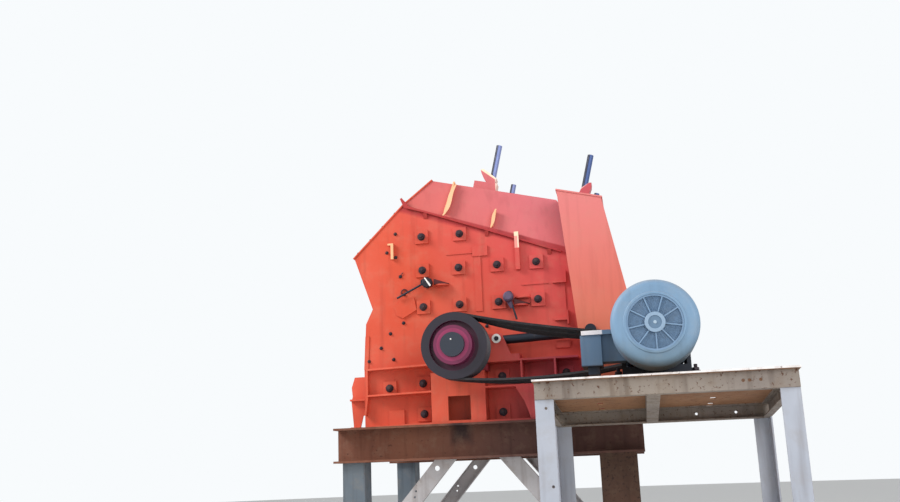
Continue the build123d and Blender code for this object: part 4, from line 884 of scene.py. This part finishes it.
liner_nut = fastener((0.036, 0.006), (0.0317, 0.028), (0.018, 0.016))
small_bolt = fastener((0.0165, 0.003), (0.0145, 0.010), (0.009, 0.0065))
anchor_nut = fastener((0.030, 0.005), (0.0265, 0.022), (0.014, 0.024))
masters = (liner_nut, small_bolt, anchor_nut)
print("faces of one nut or bolt:", [len(master.data.polygons) for master in masters])

# %% Liner nuts and bolts of the side plates
near_side = (0.0, -1.0, 0.0)
pad_face, plate_face = 0.080, 0.100
pad_rows = (
    (3.725, (0.625, 0.985)),
    (3.408, (0.625, 0.965, 1.320, 1.677)),
    (3.066, (0.625, 0.963, 1.320, 1.675)),
)
pads = [(x, z) for z, row in pad_rows for x in row]
pads += [(0.292, 2.345), (0.602, 2.372), (0.606, 2.102), (1.313, 2.088), (1.320, 2.400), (1.885, 2.400)]
nut_places = [(x, pad_face, z) for x, z in pads]
liner_nuts = stand_copies("liner_nuts_near", liner_nut, nut_places, near_side, bolt_steel)
far_copy(liner_nuts, bolt_steel)
plate_bolts = [
    (0.373, 3.778), (0.288, 3.604), (0.372, 3.554), (0.412, 3.369), (0.431, 2.934),
    (0.305, 2.843), (0.215, 2.715), (0.330, 2.605), (0.098, 2.600), (1.200, 2.856),
]
bolt_places = [(x, plate_face, z) for x, z in plate_bolts]
side_bolts = stand_copies("side_bolts_near", small_bolt, bolt_places, near_side, bolt_steel)
far_copy(side_bolts, bolt_steel)

# %% Bolts of the inlet flange
inlet_angle = math.radians(44.47)
along_inlet = Vector((math.cos(inlet_angle), 0.0, math.sin(inlet_angle)))
off_inlet = Vector((-math.sin(inlet_angle), 0.0, math.cos(inlet_angle)))
flange_thickness, band_middle = 0.012, 0.136
inlet_foot = Vector((-0.028, 0.0, 3.572)) + off_inlet * flange_thickness
side_reaches, row_reaches = (0.060, 0.230, 0.400, 0.570), (0.036, 1.006)
row_start, row_step, row_count = 0.260, 0.230, 7
flange_places = [(reach, side) for reach in side_reaches for side in (band_middle, far_plate - band_middle)]
flange_places += [(reach, row_start + row_step * i) for reach in row_reaches for i in range(row_count)]
inlet_places = [inlet_foot + along_inlet * reach + Vector((0, side, 0)) for reach, side in flange_places]
stand_copies("inlet_bolts", small_bolt, inlet_places, off_inlet, bolt_steel)

# %% Bolts that hold the machine down
upward = (0.0, 0.0, 1.0)
floor_plate, leg_plate, motor_sole, bearing_foot = 0.020, 0.020, 2.252, 2.502
columns = ((0.0, 0.130), (2.278, 0.180))
anchor_places = [
    (x + dx, y + dy, floor_plate)
    for x, reach in columns for dx in (-reach, reach) for y in (0.0, far_plate) for dy in (-reach, reach)
]
anchor_places += [(x, y, leg_plate) for x in (1.939, 3.350) for y in (-1.635, -0.3465)]
stand_copies("anchor_nuts", anchor_nut, anchor_places, upward, bolt_steel)
motor_bolt_places = [(motor_x + dx, y, motor_sole) for dx in (-0.280, 0.280) for y in (-1.040, -0.720)]
stand_copies("motor_foot_nuts", anchor_nut, motor_bolt_places, upward, bolt_steel)
bearing_bolt_places = [(rotor_x + dx, y, bearing_foot) for dx in (-0.180, 0.180) for y in (-0.020, 1.920)]
stand_copies("bearing_nuts", anchor_nut, bearing_bolt_places, upward, bolt_steel)
for master in masters:
    bpy.data.objects.remove(master)

# %% [markdown]
# ## Small plates on the housing
# Little cleats hold the roof's lip to the side plate, and a pawl stands on the shelf beside each hand lever.
# Both are cut from plate, so a box takes a taper in edit mode: the picked face or edge is moved or made
# smaller.

# %% Cleats under the lip
def plate_block(low, high):
    """Box between two corners, ready for edit mode."""
    bpy.ops.object.select_all(action="DESELECT")
    size = [b - a for a, b in zip(low, high)]
    centre = [(a + b) / 2 for a, b in zip(low, high)]
    bpy.ops.mesh.primitive_cube_add(size=1.0, location=centre, scale=size)
    bpy.ops.object.transform_apply(location=True, scale=True)
    return bpy.context.object


cleat_places = ((0.668, 3.954), (1.239, 3.735), (1.800, 3.519))
cleat_half, cleat_height, cleat_front, cleat_taper, lip_gap = 0.018, 0.050, 0.074, 0.018, 0.001
cleats = []
for x, lip_z in cleat_places:
    foot_z = lip_z - cleat_height
    cleat = plate_block((x - cleat_half, cleat_front, foot_z), (x + cleat_half, plate_face, lip_z - lip_gap))
    pick(cleat, "EDGE", lambda v: v.y < cleat_front + hair and v.z < foot_z + hair)
    bpy.ops.transform.translate(value=(0.0, cleat_taper, 0.0))
    bpy.ops.object.mode_set(mode="OBJECT")
    pick(cleat, "EDGE", lambda v: v.y < cleat_front + cleat_taper + hair)
    bevel_picked(0.0015)
    cleats.append(cleat)
cleats_near = dress(join_all(cleats), "lip_cleats_near", cleat_shade_enamel)
far_copy(cleats_near, cleat_shade_enamel)

# %% Pawls beside the levers
pawl_places = ((0.735, 3.263), (1.462, 3.029))
pawl_length, pawl_height, pawl_front, pawl_tip = 0.135, 0.052, 0.045, (1.0, 0.45, 0.12)
pawls = []
for x, foot_z in pawl_places:
    tip_x = x + pawl_length
    pawl = plate_block((x, pawl_front, foot_z), (tip_x, plate_face, foot_z + pawl_height))
    pick(pawl, "FACE", lambda v: v.x > tip_x - hair)
    bpy.ops.transform.resize(value=pawl_tip, center_override=(tip_x, plate_face, foot_z))
    bpy.ops.object.mode_set(mode="OBJECT")
    pick(pawl, "EDGE", lambda v: v.y < plate_face - hair)
    bevel_picked(0.003, 2)
    pawls.append(pawl)
pawls_near = dress(join_all(pawls), "lever_pawls_near", shade_enamel)
far_copy(pawls_near, shade_enamel)

# %% [markdown]
# ## Caps on the hood's ribs
# A bent flat bar is welded along the crest of each rib on the hood, and it is painted cream as painted
# sunlight, where the sun strikes it. A box is subdivided along its length, then narrowed towards its ends and
# swayed a little, because the real bar was cut and bent by hand. It is shaped lying flat and then laid on the
# sloping rib.

# %% Bent caps on the hood's ribs
def hood_point(x, z):
    """Place on the near hood plate."""
    return Vector((x, (hood_level - hood_normal[0] * x - hood_normal[2] * z) / hood_normal[1], z))


cap_low, cap_high, cap_cuts, end_share = 0.044, 0.053, 9, 0.25
# foot, head, width and sway of each cap
rib_lines = (
    ((0.838, 3.888), (0.951, 4.215), 0.042, 0.010),
    ((1.277, 3.735), (1.325, 3.928), 0.032, 0.004),
)
rib_caps = []
for foot, head, width, sway in rib_lines:
    start, end = hood_point(*foot), hood_point(*head)
    length = (end - start).length
    rib_cap = plate_block((0.0, -width / 2, cap_low), (length, width / 2, cap_high))
    pick(rib_cap, "FACE", lambda v: True)
    bpy.ops.mesh.subdivide(number_cuts=cap_cuts)
    bpy.ops.object.mode_set(mode="OBJECT")
    for corner in rib_cap.data.vertices:
        share = corner.co.x / length
        fullness = end_share + (1.0 - end_share) * math.sin(math.pi * share)
        corner.co.y = corner.co.y * fullness - sway * math.sin(2 * math.pi * share)
    run, out = (end - start).normalized(), Vector(hood_normal)
    turn = Matrix((run, out.cross(run), out)).transposed().to_4x4()
    rib_cap.data.transform(Matrix.Translation(start) @ turn)
    rib_caps.append(rib_cap)
rib_caps_near = dress(join_all(rib_caps), "hood_rib_caps_near", sunlit_cream_enamel)
far_copy(rib_caps_near, sunlit_cream_enamel)

# %% [markdown]
# ## Knobs of the hand levers
# A cast knob screws onto each lever's hub. The first one is eight-sided with a painted highlight across it,
# a thin bar of near-white steel, and the second is a round cap on a tapered sleeve that the lever runs
# through. Each is a bar with bevelled rims.

# %% Knobs and sleeve
# each bar: start, end, radius, radius at the end, width of the bevel and number of sides
first_knob = solid_bar((0.682, 0.034, 3.276), (0.682, -0.012, 3.272), 0.053, 0.047, 0.008, 8)
first_knob = dress(first_knob, "first_knob_near", knob_iron)
far_copy(first_knob, knob_iron)
wing = solid_bar((0.664, -0.014, 3.318), (0.716, -0.014, 3.240), 0.006, 0.009, 0.002, 8)
wing = dress(wing, "worn_knob_edge_near", highlight_steel)
far_copy(wing, highlight_steel)
# the second knob takes the lighter knob iron, painted as lit
cap = solid_bar((1.415, 0.040, 3.094), (1.415, -0.010, 3.098), 0.051, 0.042, 0.010, 20)
sleeve = solid_bar((1.419, 0.052, 3.062), (1.437, 0.055, 2.994), 0.026, 0.012, 0.003, 16)
second_knob = dress(join_all([cap, sleeve]), "second_knob_near", lit_knob_iron)
far_copy(second_knob, lit_knob_iron)

# %% [markdown]
# ## Guide of the first lever
# The end of the first lever runs through a ring of bent round bar, with a short latch above it. A small
# circle is spun most of the way round, as the bar was bent, and its normals are turned outwards again
# afterwards.

# %% Lever guide and latch
ring_middle, ring_radius, ring_wire = Vector((0.447, 0.090, 3.216)), 0.027, 0.006
ring_turn, ring_steps = math.radians(300), 20
bpy.ops.object.select_all(action="DESELECT")
bpy.ops.mesh.primitive_circle_add(
    vertices=8, radius=ring_wire, fill_type="NGON", location=ring_middle + Vector((ring_radius, 0.0, 0.0))
)
guide = bpy.context.object
bpy.ops.object.transform_apply(location=True)
pick(guide, "FACE", lambda v: True)
bpy.ops.mesh.spin(steps=ring_steps, angle=ring_turn, center=ring_middle, axis=(0.0, 1.0, 0.0))
bpy.ops.mesh.select_all(action="SELECT")
bpy.ops.mesh.normals_make_consistent(inside=False)
bpy.ops.object.mode_set(mode="OBJECT")
latch = solid_bar((0.397, 0.092, 3.353), (0.438, 0.092, 3.404), 0.004, 0.004, 0.001, 8)
guide = dress(join_all([guide, latch]), "lever_guide_near", shade_enamel)
far_copy(guide, shade_enamel)

# %% [markdown]
# ## Washers of the lift cylinder's anchor pins
# A washer shows round the dark end of each pin, and it is painted near white as a highlight. It is a low bar
# whose flat ends are inset, and the two inner faces are bridged, which cuts the hole.

# %% Anchor washers
pin_x, pin_z, washer_back, washer_front = 1.310, 2.709, -0.115, -0.121
washer_radius, washer_band = 0.040, 0.0185
washer = solid_bar(
    (pin_x, washer_back, pin_z), (pin_x, washer_front, pin_z), washer_radius, washer_radius, 0.001, 32
)
pick(washer, "FACE", lambda v: v.y < washer_front + hair or v.y > washer_back - hair)
bpy.ops.mesh.inset(thickness=washer_band, depth=0.0)
bpy.ops.mesh.bridge_edge_loops()
bpy.ops.object.mode_set(mode="OBJECT")
washer = dress(washer, "anchor_washer_near", highlight_steel)
far_copy(washer, highlight_steel)

# %% [markdown]
# ## Fan guard of the motor
# Behind the ribs of the guard lies a sheet of woven wire that keeps fingers from the fan. A grid is cut back
# to a disc, and a Wireframe modifier turns its edges to wires. The real wires are about 1 mm thick and 6 mm
# apart; they are drawn coarser, or they would not show.

# %% Wire mesh of the fan guard
facing_out = (math.pi / 2, 0.0, 0.0)
wire_pitch, wire_width, wire_y, wire_reach = 0.0080, 0.0042, -1.6905, 0.205
bpy.ops.object.select_all(action="DESELECT")
wire_cells = 2 * math.ceil(wire_reach / wire_pitch)
bpy.ops.mesh.primitive_grid_add(
    x_subdivisions=wire_cells, y_subdivisions=wire_cells, size=wire_cells * wire_pitch,
    location=(motor_x, wire_y, motor_z), rotation=facing_out,
)
fan_mesh = bpy.context.object
bpy.ops.object.transform_apply(location=True, rotation=True)
pick(fan_mesh, "FACE", lambda v: math.hypot(v.x - motor_x, v.z - motor_z) < wire_reach)
bpy.ops.mesh.select_all(action="INVERT")
bpy.ops.mesh.delete(type="FACE")
bpy.ops.object.mode_set(mode="OBJECT")
wires = fan_mesh.modifiers.new("wires", "WIREFRAME")
wires.thickness = wire_width
wires.use_boundary = True
bpy.ops.object.modifier_apply(modifier="wires")
dress(fan_mesh, "fan_wire_mesh", wire_enamel)

# %% Hub of the fan guard
# the hub is a cup: the front of a bar is inset and sunk, and a button stands in the middle
hub_back, hub_front, hub_radius = -1.705, -1.712, 0.070
hub = solid_bar(
    (motor_x, hub_back, motor_z), (motor_x, hub_front, motor_z), hub_radius, hub_radius, 0.002, 48,
)
pick(hub, "FACE", lambda v: v.y < hub_front + hair)
rim, wall, cup_floor, button = (0.022, 0.0), (0.002, -0.005), (0.032, 0.0), (0.002, 0.004)
for inward, outward in (rim, wall, cup_floor, button):
    bpy.ops.mesh.inset(thickness=inward, depth=outward)
bpy.ops.object.mode_set(mode="OBJECT")
dress(hub, "fan_guard_hub", hub_enamel)

# %% [markdown]
# ## Grease nipple of the rotor
# It shows as one bright dot on the end of the rotor's hub, so it is painted near white as a highlight. It
# stands off the axis, so it is the piece that shows how far the rotor has turned. A small cone with bevelled
# rims is enough at this size.

# %% Grease nipple
nipple = solid_bar((0.982, -0.515, 2.674), (0.982, -0.524, 2.674), 0.008, 0.004, 0.001, 10)
dress(nipple, "hub_nipple", highlight_steel, "rotor")

# %% [markdown]
# ## V-belts
# Eight loose belts run side by side over the two pulleys. A belt that isn't tight hangs in a shallow curve
# between the pulleys, and no two hang alike. A ring of edges is laid along the belt's path, drawn out to the
# belt's width and thickened, and its inner edge is narrowed to the V.

# %% Path of a loose belt
belt_radii = (0.2848, 0.1028)
run_steps, small_steps, big_steps, settle_rounds = 24, 24, 72, 30
print("belts run at radii", belt_radii, "round the two pulleys")


def loose_run(side, sag):
    """Angles at which one run leaves the two pulleys, and its points.

    Side is 1 for the upper run and -1 for the lower one. The angles and the sag depend on each other, so they
    are worked out in rounds until they settle.
    """
    big, small = belt_radii
    start = end = 0.0
    for _ in range(settle_rounds):
        x0, z0 = rotor_x + big * math.sin(start), rotor_z + side * big * math.cos(start)
        x1, z1 = motor_x + small * math.sin(end), motor_z + side * small * math.cos(end)
        span = x1 - x0
        slope = (z1 - z0) / span
        start = -side * math.atan(slope - 4 * sag / span)
        end = -side * math.atan(slope + 4 * sag / span)
    shares = [i / run_steps for i in range(1, run_steps)]
    return start, end, [(x0 + span * t, z0 + (z1 - z0) * t - 4 * sag * t * (1 - t)) for t in shares]


def wrap(centre, radius, start, end, steps):
    """Points round a pulley between two angles, clockwise from the top."""
    angles = [start + (end - start) * i / steps for i in range(steps + 1)]
    return [(centre[0] + radius * math.sin(a), centre[1] + radius * math.cos(a)) for a in angles]


def belt_path(upper_sag, lower_sag):
    """Closed path of one belt as a list of places along X and Z."""
    top_big, top_small, upper = loose_run(1, upper_sag)
    low_big, low_small, lower = loose_run(-1, lower_sag)
    small_wrap = wrap(motor_axis, belt_radii[1], top_small, math.pi - low_small, small_steps)
    big_wrap = wrap(rotor_axis, belt_radii[0], math.pi - low_big, 2 * math.pi + top_big, big_steps)
    return upper + small_wrap + lower[::-1] + big_wrap


# %% Eight belts
belt_count, belt_width, belt_depth, belt_pitch, belt_middle = 8, 0.022, 0.018, 0.0255, -0.325
belt_foot = 0.6
first_sag, sag_step, sag_scatter, lower_sags = 0.030, 0.007, 0.010, (0.066, 0.092)
slack = random.Random(4)
strands = []
for i in range(belt_count):
    upper_sag = first_sag + sag_step * i + slack.uniform(0.0, sag_scatter)
    lower_sag = slack.uniform(*lower_sags)
    path = belt_path(upper_sag, lower_sag)
    y = belt_middle + (i - (belt_count - 1) / 2) * belt_pitch
    bpy.ops.object.select_all(action="DESELECT")
    bpy.ops.mesh.primitive_circle_add(vertices=len(path), radius=belt_radii[0], location=(0, 0, 0))
    strand = bpy.context.object
    for corner, (x, z) in zip(strand.data.vertices, path):
        corner.co = (x, y - belt_width / 2, z)
    pick(strand, "EDGE", lambda v: True)
    bpy.ops.mesh.extrude_region_move(TRANSFORM_OT_translate={"value": (0.0, belt_width, 0.0)})
    bpy.ops.mesh.select_all(action="SELECT")
    bpy.ops.mesh.normals_make_consistent(inside=False)
    bpy.ops.object.mode_set(mode="OBJECT")
    thick = strand.modifiers.new("thick", "SOLIDIFY")
    thick.thickness = belt_depth
    thick.offset = -1.0
    bpy.ops.object.modifier_apply(modifier="thick")
    for corner in strand.data.vertices[2 * len(path):]:
        corner.co.y = y + (corner.co.y - y) * belt_foot
    strands.append(strand)
belts = dress(join_all(strands), "loose_belts", rubber)
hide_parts("v_belts")
